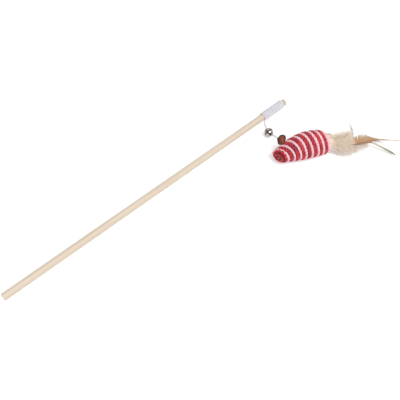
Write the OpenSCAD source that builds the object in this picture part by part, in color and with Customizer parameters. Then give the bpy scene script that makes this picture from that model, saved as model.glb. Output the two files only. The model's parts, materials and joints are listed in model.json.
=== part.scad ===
// Cat teaser wand: a wooden rod with a cord whipped to its tip, a jingle bell
// and a rope-wound mouse with a feather tail, lying on a table.
// The rod lies along +X, with its butt face at the origin, and +Z is up.

/* [Rod] */
// Length of the rod
rod_len = 400; // [300:5:600]
// Diameter of the rod
rod_d = 8; // [7:0.5:10]
// Chamfer at both ends of the rod
rod_chamfer = 0.5; // [0.2:0.1:1]
// Depth of the turned seat under the whipping
seat_depth = 0.2; // [0.1:0.1:0.4]
// Bare wood between the whipping and the tip
tip_bare = 5; // [3:1:15]

/* [Cord and whipping] */
// Diameter of the cord
cord_d = 1.6; // [1.2:0.1:1.8]
// Number of turns of cord round the rod
whip_turns = 14; // [6:1:16]
// Gap between two turns of the whipping
whip_gap = 0.48; // [0.45:0.01:0.8]
// Extra lead of the last turn, where the cord leaves
last_turn_slack = 2.2; // [0:0.1:3]
// Length of the loose cut end at the tip side
tail_len = 3.4; // [2:0.2:6]
// Diameter of the knot below the bell
bell_knot_d = 3; // [2.6:0.1:3.6]
// Diameter of the knot at the nape
head_knot_d = 3.4; // [2.8:0.1:4]

/* [Bell] */
// Outer diameter of the bell
bell_d = 11; // [9:0.5:12]
// Sheet thickness of the bell
bell_wall = 0.4; // [0.3:0.05:0.6]
// Width of the crossed slots
slot_w = 0.9; // [0.6:0.1:1.2]
// Diameter of the round hole at each end of a slot
slot_hole_d = 1.7; // [1.2:0.1:2]
// Diameter of the ball inside
pea_d = 3.4; // [2.5:0.1:4]
// Wire diameter of the hanging loop
loop_wire_d = 1; // [0.8:0.1:1.2]
// Inner diameter of the hanging loop
loop_bore_d = 2.3; // [2.2:0.1:3]

/* [Mouse] */
// Length of the wound body
mouse_len = 64; // [58:1:68]
// Greatest girth diameter of the wound body
mouse_d = 32; // [30:0.2:34]
// Length of the curved front part of the body
bend_len = 30; // [26:1:34]
// Height by which the snout is lifted off the table
snout_lift = 5.6; // [4:0.2:8]
// Thickness of the red rope
red_h = 3.4; // [2.8:0.1:3.6]
// Thickness of the white rope
white_h = 3; // [2.4:0.1:3.2]
// Pitch of the winding at the snout
pitch_snout = 6.7; // [6.6:0.1:7]
// Pitch of the winding at the tail
pitch_tail = 8.9; // [8.6:0.1:9.2]
// Height of an ear
ear_h = 9.8; // [8:0.2:13]
// Width of an ear
ear_w = 7.4; // [6:0.2:8]
// Thickness of the ear suede
ear_t = 0.9; // [0.6:0.1:1.2]

/* [Feather tail] */
// Length of the down plumes behind the tail end
down_len = 27; // [25:1:40]
// Distance of the plumes' outer edge from the tail's axis
down_r = 16.5; // [14:0.5:18]
// How far the down bends aside towards the viewer
down_aside = 6.5; // [0:0.5:8]
// How far the down droops
down_sink = 3; // [0:0.5:4]
// Length of the long low plume
low_down_len = 46; // [40:1:60]
// Length of the tan feather
tan_len = 88; // [70:1:110]
// Width of the tan feather's vane
tan_w = 14; // [8:0.5:15]
// Length of the olive feather
olive_len = 82; // [60:1:100]
// Width of the olive feather's vane
olive_w = 3; // [2:0.5:5]
// Length of the short grey feather
grey_len = 42; // [40:1:50]
// Width of the short grey feather's vane
grey_w = 2.4; // [1.5:0.1:3]
// Thickness of a feather's vane
vane_t = 0.5; // [0.4:0.1:0.8]
// Diameter of a feather's quill
quill_d = 1; // [0.8:0.1:1.2]

/* [Hidden] */

// Clearances
wind_gap = 0.1;
pivot_gap = 0.25;
seat_gap = 0.3;
bore_gap = 0.1;
pea_gap = 0.1;
rope_gap = 0.45;
cut_over = 1;
slope_step = 0.5;

// Rod and whipping
rod_r = rod_d / 2;
cord_r = cord_d / 2;
seat_r = rod_r - seat_depth;
wind_r = seat_r + wind_gap + cord_r;
whip_pitch = cord_d + whip_gap;
whip_start_turn = 0.45;
whip_start_x = rod_len - tip_bare - cord_r;
exit_angle = 90;
exit_x = whip_start_x - last_turn_slack - whip_pitch * (whip_turns + whip_start_turn);
seat_margin = 0.4;
seat_from_x = exit_x - cord_r - seat_margin;
seat_to_x = whip_start_x + cord_r + seat_margin;
tail_dir = [0.95, 0.23, 0.18];
whip_steps = 20;
cord_flat_share = 1 / 10;
table_z = -(wind_r + cord_r - cord_d * cord_flat_share);
stub_end_z = -cord_d;

// The cord's pivot at the whipping, and the points of its free route, in mm
pivot = [exit_x, -wind_r, stub_end_z - pivot_gap - cord_r];
CORD_ROUTE = [
    [360.8, -5.7, -2.8], [359.3, -7, -2.9], [357.8, -8.9, -3.2],
    [356.4, -11, -3.4], [355.2, -13.4, -3.5], [354.3, -16, -3.5], [353.5, -18.6, -3.5],
    [353, -21, -3.5], [352.7, -23, -3.5], [352.5, -25, -3.5], [352.6, -27, -3.6],
    [353, -29, -3.8], [353.4, -30.9, -4.1], [353.6, -33, -4.4], [353.3, -35.5, -4.4],
    [352.4, -38, -4], [351.1, -40.4, -3], [349.6, -42.6, -1.3], [347.9, -44.6, 0.9],
    [346.2, -46, 3.35], [344.75, -47.2, 5.7], [343.45, -48.5, 7.6]];
CORD_END = [342.55, -49.5, 8.9];
cord_sides = 8;
CAP_ANGLES = [80, 55, 30];
knot_waist_share = 0.55;
knot_len_share = 0.6;
bell_knot_point = 11;

// Bell: the loop's hole is round the cord at this point of the route
loop_at = CORD_ROUTE[8];
bell_r = bell_d / 2;
bell_tilt = 42;
bell_heading = 190;
loop_turn = -10;
slot_turn = -20;
loop_ring_r = (loop_bore_d + loop_wire_d) / 2;
loop_sink = 0.15;
bell_drop = bell_r + loop_ring_r + loop_wire_d / 2 - loop_sink;
slot_reach_deg = 62;

// Mouse: its own frame has +X towards the tail along the straight rear part,
// +Y away from the viewer and the origin on the table under the bend's end
mouse_at = [353, -68.2, table_z];
mouse_heading = -25;
bend_deg = 21;
bend_r = bend_len / (bend_deg * PI / 180);
mouse_r = mouse_d / 2;
GIRTH_SHARES = [[0, 0.56], [0.08, 0.61], [0.195, 0.73], [0.34, 0.88], [0.485, 0.98],
    [0.63, 1], [0.775, 0.97], [0.87, 0.92], [1, 0.81]];
belly_cut = 0.5;
rope_start = 5.4;
rope_end_gap = 1.65;
red_share = 0.55;
white_share = 0.33;
white_drop = 0.2;
lean_snout = 15.5;
lean_tail = 0;
rope_steps = 20;
rope_sides = 6;
core_sides = 28;
core_front = 7.6;
core_front_r = 2.6;
core_steps = 14;
socket_r = 2.7;
socket_depth = 8;

// Windings, counted in turns from the white rope's first crossing of the back
white_from = -0.1;
white_to = 2 * (mouse_len - rope_start - rope_end_gap) / (pitch_snout + pitch_tail);
red_from = -0.45;
red_short = 0.3;
red_to = white_to - red_short;
red_phase = 0.5;

// The red rope's spiral in the snout's face, and the bead in its middle
spiral_turns = 1;
spiral_end_r = 2.5;
spiral_width_share = 0.75;
face_dome = 2.6;
nose_d = 1.7;
nose_proud = 0.3;
plug_r = 3.9;
plug_from = -3.5;
plug_to = -0.9;

// Mouse ears: where they grow on the nape and how they stand
ear_station = 15.2;
left_ear_behind = 3;
right_ear_behind = 4.3;
left_ear_around = 26;
right_ear_around = 60;
left_ear_turn = 24;
right_ear_turn = 70;
ear_cup_r = 9;
ear_point_share = 0.25;

// Tail: its axis leaves the tail end at this height over the table
tail_x = mouse_len - bend_len;
tail_z = mouse_r * GIRTH_SHARES[8][1] - belly_cut;
plume_gap = 0.25;
channel_r = 2.2;

// Helpers: vectors and smooth tables
function unit(v) = v / norm(v);
function lerp(a, b, t) = a + (b - a) * t;
function clamp(x, lo, hi) = min(max(x, lo), hi);
function flatten(l) = [for (a = l) each a];

// Slope of a table of [x, y] pairs at entry i, for a smooth curve through it
function table_slope(tab, i) =
    let (a = max(i - 1, 0), b = min(i + 1, len(tab) - 1))
    (tab[b][1] - tab[a][1]) / (tab[b][0] - tab[a][0]);
function table_cell(tab, x, i = 0) =
    i >= len(tab) - 2 || x < tab[i + 1][0] ? i : table_cell(tab, x, i + 1);
function smooth_at(tab, x) =
    let (i = table_cell(tab, x),
        h = tab[i + 1][0] - tab[i][0],
        t = clamp((x - tab[i][0]) / h, 0, 1),
        m0 = table_slope(tab, i) * h,
        m1 = table_slope(tab, i + 1) * h)
    (2 * pow(t, 3) - 3 * t * t + 1) * tab[i][1] + (pow(t, 3) - 2 * t * t + t) * m0
    + (3 * t * t - 2 * pow(t, 3)) * tab[i + 1][1] + (pow(t, 3) - t * t) * m1;

// A closed skin over rings that all have the same number of points, each
// running counter-clockwise round the way from the first ring to the last
module skin(rings) {
    n = len(rings[0]);
    last = (len(rings) - 1) * n;
    sides = [for (i = [0:len(rings) - 2], j = [0:n - 1])
        let (a = i * n + j, b = i * n + (j + 1) % n)
        each [[a, a + n, b], [b, a + n, b + n]]];
    ends = [for (j = [1:n - 2]) each [[0, j, j + 1], [last, last + j + 1, last + j]]];
    polyhedron(points = flatten(rings), faces = concat(sides, ends));
}

// Rings of a tube along points p, each ring turned by the given outward
// directions, with half height h across them and half width w along the side
function tube_rings(p, outward, h, w, sides) = [for (i = [0:len(p) - 1])
    let (dir = unit(p[min(i + 1, len(p) - 1)] - p[max(i - 1, 0)]),
        side = unit(cross(dir, outward[i])),
        up = cross(side, dir))
    [for (k = [0:sides - 1])
        let (a = 360 * (k + 0.5) / sides)
        p[i] + up * h[i] * cos(a) / cos(180 / sides) + side * w[i] * sin(a)]];

// The same rings with no point below height z
function rings_above(rings, z) = [for (r = rings) [for (q = r) [q.x, q.y, max(q.z, z)]]];

// Least distance between points of a path that are at least skip steps apart
function least_gap(p, skip) = min([for (i = [0:len(p) - 1 - skip], j = [i + skip:len(p) - 1])
    norm(p[i] - p[j])]);

// Rod: a turned dowel with chamfered ends and a shallow seat for the cord
module rod() {
    color([0.90, 0.83, 0.75])
    rotate([0, 90, 0])
    rotate_extrude($fn = 96)
    polygon([
        [0, 0], [rod_r - rod_chamfer, 0], [rod_r, rod_chamfer],
        [rod_r, seat_from_x], [seat_r, seat_from_x],
        [seat_r, seat_to_x], [rod_r, seat_to_x],
        [rod_r, rod_len - rod_chamfer], [rod_r - rod_chamfer, rod_len], [0, rod_len]]);
}

// Place of the whipping's centreline, n turns before the cord leaves it
function whip_point(n) = let (a = exit_angle + 360 * n)
    [exit_x + whip_pitch * n + last_turn_slack * min(n, 1), -wind_r * sin(a), -wind_r * cos(a)];
function whip_outward(n) = let (a = exit_angle + 360 * n) [0, -sin(a), -cos(a)];

// Whipping: one unbroken cord with a loose cut end and a straight lead-out
module whipping() {
    total = whip_turns + whip_start_turn;
    count = round(total * whip_steps);
    turns = [for (i = [0:count]) total * (1 - i / count)];
    start = whip_point(total);
    straight = [exit_x, -wind_r, stub_end_z];
    path = concat(
        [start + unit(tail_dir) * tail_len, start + unit(tail_dir) * tail_len / 2],
        [for (n = turns) whip_point(n)],
        [straight]);
    out = concat(
        [whip_outward(total), whip_outward(total)],
        [for (n = turns) whip_outward(n)],
        [whip_outward(0)]);
    radii = [for (p = path) cord_r];
    wound = [for (n = turns) whip_point(n)];
    echo(whipping_self_gap = least_gap(wound, round(whip_steps / 2)) - cord_d);
    color([0.86, 0.86, 0.88])
    skin(rings_above(tube_rings(path, out, radii, radii, 6), table_z));
}

// Cord: the free stretch, rounded at both ends where it pivots
module cord() {
    route = concat([pivot], CORD_ROUTE, [CORD_END]);
    first = unit(route[0] - route[1]);
    path = concat(
        [for (a = CAP_ANGLES) route[0] + first * cord_r * sin(a)], route);
    out = [for (p = path) [0, 0, 1]];
    radii = concat([for (a = CAP_ANGLES) cord_r * cos(a)], [for (p = route) cord_r]);
    color([0.84, 0.86, 0.87])
    skin(tube_rings(path, out, radii, radii, cord_sides));
}

// Turns +Z towards the direction v
module aim(v) {
    rotate([0, acos(v.z / norm(v)), atan2(v.y, v.x)])
    children();
}

// A knot that lies round the cord: two rounded wraps with the cord's bore
module wrap_knot(d, length) {
    bore_r = cord_r + bore_gap;
    function wrap(middle, angles) = [for (a = angles)
        [lerp(bore_r, d / 2, lerp(knot_waist_share, 1, cos(a))), middle + length / 4 * sin(a)]];
    rotate_extrude($fn = 32)
    polygon(concat(
        [[bore_r, length / 2], [bore_r, -length / 2]],
        wrap(-length / 4, [-90:15:90]),
        wrap(length / 4, [-75:15:90])));
}

// Knot below the bell
module bell_knot() {
    from = CORD_ROUTE[bell_knot_point];
    to = CORD_ROUTE[bell_knot_point + 1];
    color([0.62, 0.62, 0.60])
    translate((from + to) / 2)
    aim(to - from)
    wrap_knot(bell_knot_d, bell_knot_d * knot_len_share);
}

// Knot at the nape, whose centre is the mouse's pivot
module head_knot() {
    color([0.84, 0.86, 0.87])
    difference() {
        translate(CORD_END) sphere(d = head_knot_d, $fn = 32);
        translate(CORD_END)
        aim(CORD_ROUTE[len(CORD_ROUTE) - 1] - CORD_END)
        translate([0, 0, -bore_gap])
        cylinder(r = cord_r + bore_gap, h = head_knot_d, $fn = 32);
    }
}

// Places the bell: its loop's hole at the cord, +Z out through the slots
module bell_frame() {
    translate(loop_at)
    rotate([0, bell_tilt, bell_heading])
    translate([0, 0, bell_drop])
    children();
}

// Bell shell with crossed slots that end in round holes
module bell_shell() {
    color([0.75, 0.75, 0.77])
    bell_frame()
    difference() {
        sphere(r = bell_r, $fn = 64);
        sphere(r = bell_r - bell_wall, $fn = 64);
        for (turn = [slot_turn, slot_turn + 90])
            rotate([0, 0, turn]) {
                slot_len = 2 * bell_r * sin(slot_reach_deg);
                translate([-slot_len / 2, -slot_w / 2, bell_r * cos(slot_reach_deg)])
                cube([slot_len, slot_w, bell_r]);
                for (side = [-1, 1])
                    rotate([0, side * slot_reach_deg, 0])
                    cylinder(d = slot_hole_d, h = bell_r + cut_over, $fn = 32);
            }
    }
}

// Bell loop: a wire ring whose foot is set into the shell's pole
module bell_loop() {
    color([0.75, 0.75, 0.77])
    bell_frame()
    difference() {
        translate([0, 0, -bell_drop])
        rotate([0, 0, loop_turn])
        rotate([90, 0, 0])
        rotate_extrude($fn = 48)
        translate([loop_ring_r, 0])
        circle(d = loop_wire_d, $fn = 24);
        sphere(r = bell_r, $fn = 64);
    }
}

// Ball that rattles in the bell, resting at its lowest point
module bell_pea() {
    color([0.55, 0.55, 0.57])
    bell_centre()
    translate([0, 0, -(bell_r - bell_wall - pea_d / 2 - pea_gap)])
    sphere(d = pea_d, $fn = 32);
}

// Places something at the bell's centre, upright
module bell_centre() {
    translate(loop_at + bell_drop * [
        sin(bell_tilt) * cos(bell_heading),
        sin(bell_tilt) * sin(bell_heading),
        cos(bell_tilt)])
    children();
}

// Outer radius of the wound body at station s, measured from the snout's face
function girth(s) = mouse_r * smooth_at(GIRTH_SHARES, clamp(s / mouse_len, 0, 1));

// Heading of the body's centreline at station s, from the straight rear part
function bend_at(s) = clamp((bend_len - s) / bend_len, 0, 1) * bend_deg;

// Centre of the body's section at station s
function centre(s) =
    let (a = bend_at(s),
        over = max(-s, 0),
        x = s >= bend_len ? s - bend_len : -bend_r * sin(a) - over * cos(a),
        y = s >= bend_len ? 0 : -bend_r * (1 - cos(a)) - over * sin(a),
        lift = snout_lift * pow(clamp(1 - 2 * s / mouse_len, 0, 1), 2))
    [x, y, girth(s) - belly_cut + lift];

// Outward direction at an angle round the body, 0 away from the viewer, 90 up
function outward(s, around) = let (a = bend_at(s))
    [-sin(a) * cos(around), cos(a) * cos(around), sin(around)];

// Direction of the centreline at station s, towards the tail
function along(s) = let (a = bend_at(s)) [cos(a), sin(a), 0];

// Outward normal of the body's surface, with the slope of its girth
function surface_normal(s, around) =
    let (slope = (girth(s + slope_step) - girth(s - slope_step)) / (2 * slope_step))
    unit(outward(s, around) - along(s) * slope);

// Point of the body's surface, sunk along its normal by depth
function on_body(s, around, depth) =
    centre(s) + outward(s, around) * girth(s) - surface_normal(s, around) * depth;

// Places something in the mouse's frame
module mouse_frame() {
    translate(mouse_at)
    rotate([0, 0, mouse_heading])
    children();
}

// Core: the tapered body that the ropes are wound on, with the tail's socket
module mouse_core() {
    stations = [for (i = [1:core_steps]) lerp(core_front, mouse_len, i / core_steps)];
    core_depth = red_h + rope_gap;
    socket_end = tail_x - socket_depth;
    function core_ring(s, r) = [for (k = [0:core_sides - 1])
        centre(s) + outward(s, 360 * k / core_sides) * r];
    function socket_ring(x) = [for (k = [0:core_sides - 1])
        let (a = 360 * k / core_sides)
        [x, socket_r * cos(a), tail_z + socket_r * sin(a)]];
    color([0.45, 0.13, 0.16])
    mouse_frame()
    skin(concat(
        [core_ring(core_front, core_front_r)],
        [for (s = stations) core_ring(s, girth(s) - core_depth)],
        [socket_ring(tail_x), socket_ring(socket_end)]));
}

// Station of a rope's centreline, v turns after the white rope's first crossing
// of the back, before its lean
function wound_station(v) = rope_start
    + pitch_snout * v + (pitch_tail - pitch_snout) * v * v / (2 * white_to);
function local_pitch(v) = lerp(pitch_snout, pitch_tail, clamp(v / white_to, 0, 1));

// A turn leans forward on the side away from the viewer
function leant_station(v, around) =
    let (s = wound_station(v),
        t = clamp(s / mouse_len, 0, 1))
    s - girth(s) * cos(around) * lerp(tan(lean_snout), tan(lean_tail), t);
function rope_station(v, around) =
    min(leant_station(v, around), mouse_len - local_pitch(v) * white_share / 2);
function rope_point(v, around, depth) = on_body(rope_station(v, around), around, depth);
function rope_normal(v, around) = surface_normal(rope_station(v, around), around);

// Distance from half a turn before to half a turn after, at the same angle
function turn_spacing(v, around) =
    norm(on_body(leant_station(v + 0.5, around), around, 0)
        - on_body(leant_station(v - 0.5, around), around, 0));

// The snout's face: its centre and the way it looks, turned by the lean
face_at = centre(wound_station(red_from));
face_dir = [-cos(bend_deg + lean_snout), -sin(bend_deg + lean_snout), 0];
face_side = cross([0, 0, 1], -face_dir);

// Angle round the body at turn v of a winding that is phase turns late
function around_at(v, phase) = 90 + 360 * (v - phase);

// Spiral from the first point of the winding into the face; t runs from 0 at
// the winding to 1 at the inner end
function spiral_point(first, t) =
    let (proud = first * face_dir,
        r = lerp(norm(first - face_dir * proud), spiral_end_r, t),
        around = around_at(red_from - spiral_turns * t, red_phase))
    face_at + face_dir * lerp(proud, face_dome, 1 - (1 - t) * (1 - t))
    + face_side * r * cos(around) + [0, 0, r * sin(around)];

// A path with both ends made longer by one straight step
function with_ends(path, step) =
    let (n = len(path) - 1)
    concat([path[0] + unit(path[0] - path[1]) * step], path,
        [path[n] + unit(path[n] - path[n - 1]) * step]);

// One rope, wound from turn a to turn b as an unbroken tube, which may start as
// a spiral in the face
module wound_rope(a, b, phase, h, depth, share, spin_turns) {
    count = round((b - a) * rope_steps);
    spin = round(spin_turns * rope_steps);
    turns = [for (i = [0:count]) lerp(a, b, i / count)];
    wound = [for (v = turns) rope_point(v, around_at(v, phase), depth)];
    normals = [for (v = turns) rope_normal(v, around_at(v, phase))];
    inner = [for (i = [1:1:spin]) (spin + 1 - i) / spin];
    path = with_ends(
        concat([for (t = inner) spiral_point(wound[0] - face_at, t)], wound),
        spin > 0 ? h / 4 : h);
    faced = [for (t = inner)
        let (around = around_at(a - spin_turns * t, phase),
            aside = face_side * cos(around) + [0, 0, sin(around)])
        unit(lerp(aside, face_dir, min(2 * t, 1)))];
    out = concat([spin > 0 ? faced[0] : normals[0]], faced, normals, [normals[count]]);
    widths = [for (v = turns) turn_spacing(v, around_at(v, phase)) * share / 2];
    inner_widths = [for (t = inner) widths[0] * lerp(1, spiral_width_share, min(2 * t, 1))];
    all_widths = concat([spin > 0 ? inner_widths[0] : widths[0]], inner_widths,
        widths, [widths[count]]);
    heights = [for (q = path) h / 2];
    echo(rope_self_gap = least_gap(path, round(rope_steps / 2)) - h);
    mouse_frame()
    skin(rings_above(tube_rings(path, out, heights, all_widths, rope_sides), 0));
}

// Red rope, which starts as a spiral in the snout's face
module red_rope() {
    color([0.69, 0.18, 0.22])
    wound_rope(red_from, red_to, red_phase, red_h, red_h / 2, red_share, spiral_turns);
}

// White rope, between the red turns
module white_rope() {
    color([1, 0.78, 0.82])
    wound_rope(white_from, white_to, 0, white_h, white_drop + white_h / 2, white_share, 0);
}

// Nose: a plug that closes the snout behind the spiral, with a small dark bead
module nose() {
    bead_at = face_dome + red_h / 2 + nose_proud - nose_d / 2;
    color([0.42, 0.2, 0.13])
    mouse_frame()
    translate(face_at)
    aim(face_dir) {
        translate([0, 0, plug_from]) cylinder(r = plug_r, h = plug_to - plug_from, $fn = 48);
        translate([0, 0, plug_from]) cylinder(d = nose_d, h = bead_at - plug_from, $fn = 32);
        translate([0, 0, bead_at]) sphere(d = nose_d, $fn = 32);
    }
}

// One ear: a cupped petal of suede that stands out of the nape
module ear(station, around, turn) {
    foot = on_body(station, around, -seat_gap);
    cup_back = sqrt(pow(ear_cup_r, 2) - pow(ear_h / 2, 2));
    color([0.45, 0.22, 0.14])
    mouse_frame()
    translate(foot)
    aim(outward(station, around))
    rotate([0, 0, turn])
    rotate([90, 0, 0])
    translate([0, 0, -cup_back])
    intersection() {
        difference() {
            translate([0, ear_h / 2, 0]) sphere(r = ear_cup_r, $fn = 48);
            translate([0, ear_h / 2, 0]) sphere(r = ear_cup_r - ear_t, $fn = 48);
        }
        linear_extrude(2 * ear_cup_r)
        polygon([for (a = [0:15:345])
            [ear_w / 2 * sin(a) * (1 - ear_point_share * cos(a)), ear_h / 2 * (1 - cos(a))]]);
    }
}
module left_ear() { ear(ear_station - left_ear_behind, left_ear_around, left_ear_turn); }
module right_ear() { ear(ear_station - right_ear_behind, right_ear_around, right_ear_turn); }

// Plume: a soft tapering segment of down round the tail's axis
DOWN_BEND_SHARES = [[0, 0], [0.2, 0.35], [0.5, 0.9], [0.75, 1], [1, 1.1]];
function down_shift(t) = let (b = smooth_at(DOWN_BEND_SHARES, clamp(t, 0, 1)))
    [0, down_aside * b, down_sink * b];
down_wide_share = 1.15;
down_high_share = 0.9;
PLUME_SHARES = [[0, 0.68], [0.12, 0.8], [0.35, 0.95], [0.6, 1], [0.85, 0.92], [1, 0.62]];
LOW_PLUME_SHARES = [[0, 0.68], [0.12, 0.82], [0.35, 1], [0.58, 0.93], [0.7, 0.68], [1, 0.44]];
PLUME_STATION_SHARES = [0, 0.06, 0.15, 0.3, 0.45, 0.6, 0.75, 0.88, 0.96, 1];
plume_count = 7;
plume_deg = 360 / plume_count;
plume_sides = 10;
plume_inner_share = 0.12;
plume_tip_share = 0.4;
plume_waist_share = 0.65;
module plume(place, length, shares) {
    around = place * plume_deg;
    color([0.87, 0.81, 0.74])
    mouse_frame()
    skin([for (t = PLUME_STATION_SHARES)
        let (outer = down_r * smooth_at(shares, t),
            inner = lerp(channel_r, outer, plume_inner_share),
            mid = (outer + inner) / 2,
            tip = t == 1 ? plume_tip_share : 1,
            half_w = lerp(inner, mid, plume_waist_share) * tan(plume_deg / 2) - plume_gap)
        [for (k = [0:plume_sides - 1])
            let (a = 360 * k / plume_sides,
                rr = mid + (outer - inner) / 2 * tip * cos(a),
                ww = half_w * sin(a) * rr / mid * tip,
                y = rr * cos(around) - ww * sin(around),
                z = rr * sin(around) + ww * cos(around),
                x = seat_gap + length * t,
                q = [tail_x + x, y * down_wide_share, tail_z + z * down_high_share]
                    - down_shift(x / down_len))
            [q.x, q.y, max(q.z, seat_gap)]]]);
}
module plume_far() { plume(0, down_len, PLUME_SHARES); }
module plume_far_top() { plume(1, down_len, PLUME_SHARES); }
module plume_top() { plume(2, down_len, PLUME_SHARES); }
module plume_near_top() { plume(3, down_len, PLUME_SHARES); }
module plume_near() { plume(4, low_down_len, LOW_PLUME_SHARES); }
module plume_near_low() { plume(5, down_len, PLUME_SHARES); }
module plume_far_low() { plume(6, down_len, PLUME_SHARES); }

// Feather: a quill that widens into a flat vane along a curved shaft.
// The route is a table of shares of the length: [along, aside, up]
module feather(length, width, route, vane, offset, tint) {
    steps = 26;
    base = [tail_x - socket_depth + seat_gap, 0, tail_z];
    function route_at(t) =
        let (q = base + [0, offset.x, offset.y]
            + (length + socket_depth) * [
                smooth_at([for (r = route) [r[0], r[1]]], t),
                smooth_at([for (r = route) [r[0], r[2]]], t),
                smooth_at([for (r = route) [r[0], r[3]]], t)])
        q - down_shift((q.x - tail_x) / down_len);
    path = [for (i = [0:steps]) route_at(i / steps)];
    out = [for (p = path) [0, 0, 1]];
    w = [for (i = [0:steps]) max(quill_d, width * smooth_at(vane, i / steps)) / 2];
    h = [for (i = [0:steps]) w[i] > quill_d / 2 ? vane_t / 2 : lerp(quill_d, vane_t, i / steps) / 2];
    color(tint)
    mouse_frame()
    skin(rings_above(tube_rings(path, out, h, w, 6), 0));
}

// Shafts: each entry is [share of the length, along, aside, up]
TAN_ROUTE_SHARES = [[0, 0, 0, 0], [0.35, 0.36, 0, 0], [0.5, 0.52, 0.008, 0.012],
    [0.62, 0.63, -0.005, -0.005], [0.75, 0.74, -0.035, -0.03], [1, 0.97, -0.115, -0.036]];
TAN_VANE_SHARES = [[0, 0], [0.31, 0], [0.37, 0.5], [0.43, 0.95], [0.5, 1], [0.57, 0.7],
    [0.67, 0.25], [0.82, 0.12], [1, 0]];
OLIVE_ROUTE_SHARES = [[0, 0, 0, 0], [0.45, 0.45, 0, 0], [0.65, 0.636, -0.03, 0],
    [0.82, 0.784, -0.172, -0.038], [1, 0.887, -0.306, -0.063]];
OLIVE_VANE_SHARES = [[0, 0], [0.5, 0.1], [0.7, 0.7], [0.85, 1], [1, 0]];
GREY_ROUTE_SHARES = [[0, 0, 0, 0], [0.5, 0.5, 0, 0], [0.74, 0.75, 0.03, 0.02],
    [0.86, 0.86, 0.18, 0.08], [1, 0.89, 0.44, 0.123]];
GREY_VANE_SHARES = [[0, 0], [0.7, 0.1], [0.84, 0.8], [0.92, 1], [1, 0]];
PALE_ROUTE_SHARES = [[0, 0, 0, 0], [0.45, 0.45, 0, 0], [0.75, 0.7, -0.02, -0.01],
    [1, 0.82, -0.1, -0.03]];
PALE_VANE_SHARES = [[0, 0], [0.5, 0.3], [0.75, 1], [1, 0]];

// Places of the quills in the tail's channel, across and up
tan_quill = [-0.2, 0.35];
olive_quill = [-1.3, -0.6];
grey_quill = [0.75, 1.35];
pale_quill = [0.1, -1.5];

module tan_feather() {
    feather(tan_len, tan_w, TAN_ROUTE_SHARES, TAN_VANE_SHARES, tan_quill, [0.75, 0.55, 0.39]);
}
module olive_feather() {
    feather(olive_len, olive_w, OLIVE_ROUTE_SHARES, OLIVE_VANE_SHARES, olive_quill,
        [0.55, 0.55, 0.45]);
}
module grey_feather() {
    feather(grey_len, grey_w, GREY_ROUTE_SHARES, GREY_VANE_SHARES, grey_quill, [0.6, 0.6, 0.58]);
}
module pale_feather() {
    feather(olive_len, olive_w, PALE_ROUTE_SHARES, PALE_VANE_SHARES, pale_quill,
        [0.9, 0.88, 0.85]);
}

rod();
whipping();
cord();
bell_knot();
head_knot();
bell_shell();
bell_loop();
bell_pea();
mouse_core();
red_rope();
white_rope();
nose();
left_ear();
right_ear();
plume_far();
plume_far_top();
plume_top();
plume_near_top();
plume_near();
plume_near_low();
plume_far_low();
tan_feather();
olive_feather();
grey_feather();
pale_feather();
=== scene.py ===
"""Looks of the cat teaser wand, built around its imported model, in metres.

The rod lies along +X with its butt at the origin. The mouse lies on the table
beside the rod's tip, on a short cord that also carries a jingle bell. The
classes hold their sizes in mm.
"""

import json
import logging
import math
from dataclasses import dataclass
from enum import Enum
from typing import Callable, Sequence

import bpy
import numpy as np
from mathutils import Matrix, Vector

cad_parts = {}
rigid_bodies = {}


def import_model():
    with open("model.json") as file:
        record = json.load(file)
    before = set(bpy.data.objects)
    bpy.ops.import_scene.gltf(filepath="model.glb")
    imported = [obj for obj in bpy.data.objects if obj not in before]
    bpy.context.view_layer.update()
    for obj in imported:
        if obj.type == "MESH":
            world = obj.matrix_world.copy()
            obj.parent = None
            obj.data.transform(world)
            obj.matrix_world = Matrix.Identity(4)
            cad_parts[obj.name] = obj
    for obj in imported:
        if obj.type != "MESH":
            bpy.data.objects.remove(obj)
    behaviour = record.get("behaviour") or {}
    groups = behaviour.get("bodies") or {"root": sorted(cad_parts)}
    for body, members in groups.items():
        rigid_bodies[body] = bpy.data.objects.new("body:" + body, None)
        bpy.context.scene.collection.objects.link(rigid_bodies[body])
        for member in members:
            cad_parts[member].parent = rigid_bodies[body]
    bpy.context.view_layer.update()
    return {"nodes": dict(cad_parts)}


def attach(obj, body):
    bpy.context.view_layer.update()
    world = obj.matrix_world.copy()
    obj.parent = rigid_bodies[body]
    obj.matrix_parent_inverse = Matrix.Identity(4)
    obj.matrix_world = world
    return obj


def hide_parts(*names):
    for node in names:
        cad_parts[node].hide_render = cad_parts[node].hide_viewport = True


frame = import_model()

LOG = logging.getLogger("cat_teaser_wand")
MM = 0.001
TINY = 1e-12
TABLE_Z = -5.34
UP = np.array([0.0, 0.0, 1.0])
Color = tuple[float, float, float]
Point = tuple[float, float, float]
Span = tuple[float, float]
Table = Sequence[Sequence[float]]
Material = bpy.types.Material
Node = bpy.types.Node
Object = bpy.types.Object
Socket = bpy.types.NodeSocket


# Numbers and tables

def smooth_at(table: Table, x: float) -> float:
    """Reads a smooth curve through a table.

    Args:
        table: Pairs of place and value, in rising order of place.
        x: The place, held inside the table.

    Returns:
        The value at that place.
    """
    last = len(table) - 2
    i = 0
    while i < last and x >= table[i + 1][0]:
        i += 1

    def slope(j: int) -> float:
        """Slope of the curve at entry j."""
        a, b = max(j - 1, 0), min(j + 1, last + 1)
        return (table[b][1] - table[a][1]) / (table[b][0] - table[a][0])

    step = table[i + 1][0] - table[i][0]
    t = min(max((x - table[i][0]) / step, 0.0), 1.0)
    return ((2 * t ** 3 - 3 * t * t + 1) * table[i][1]
            + (t ** 3 - 2 * t * t + t) * slope(i) * step
            + (3 * t * t - 2 * t ** 3) * table[i + 1][1]
            + (t ** 3 - t * t) * slope(i + 1) * step)


def clamp(x: float) -> float:
    """The number x, held between 0 and 1."""
    return min(max(x, 0), 1)


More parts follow.
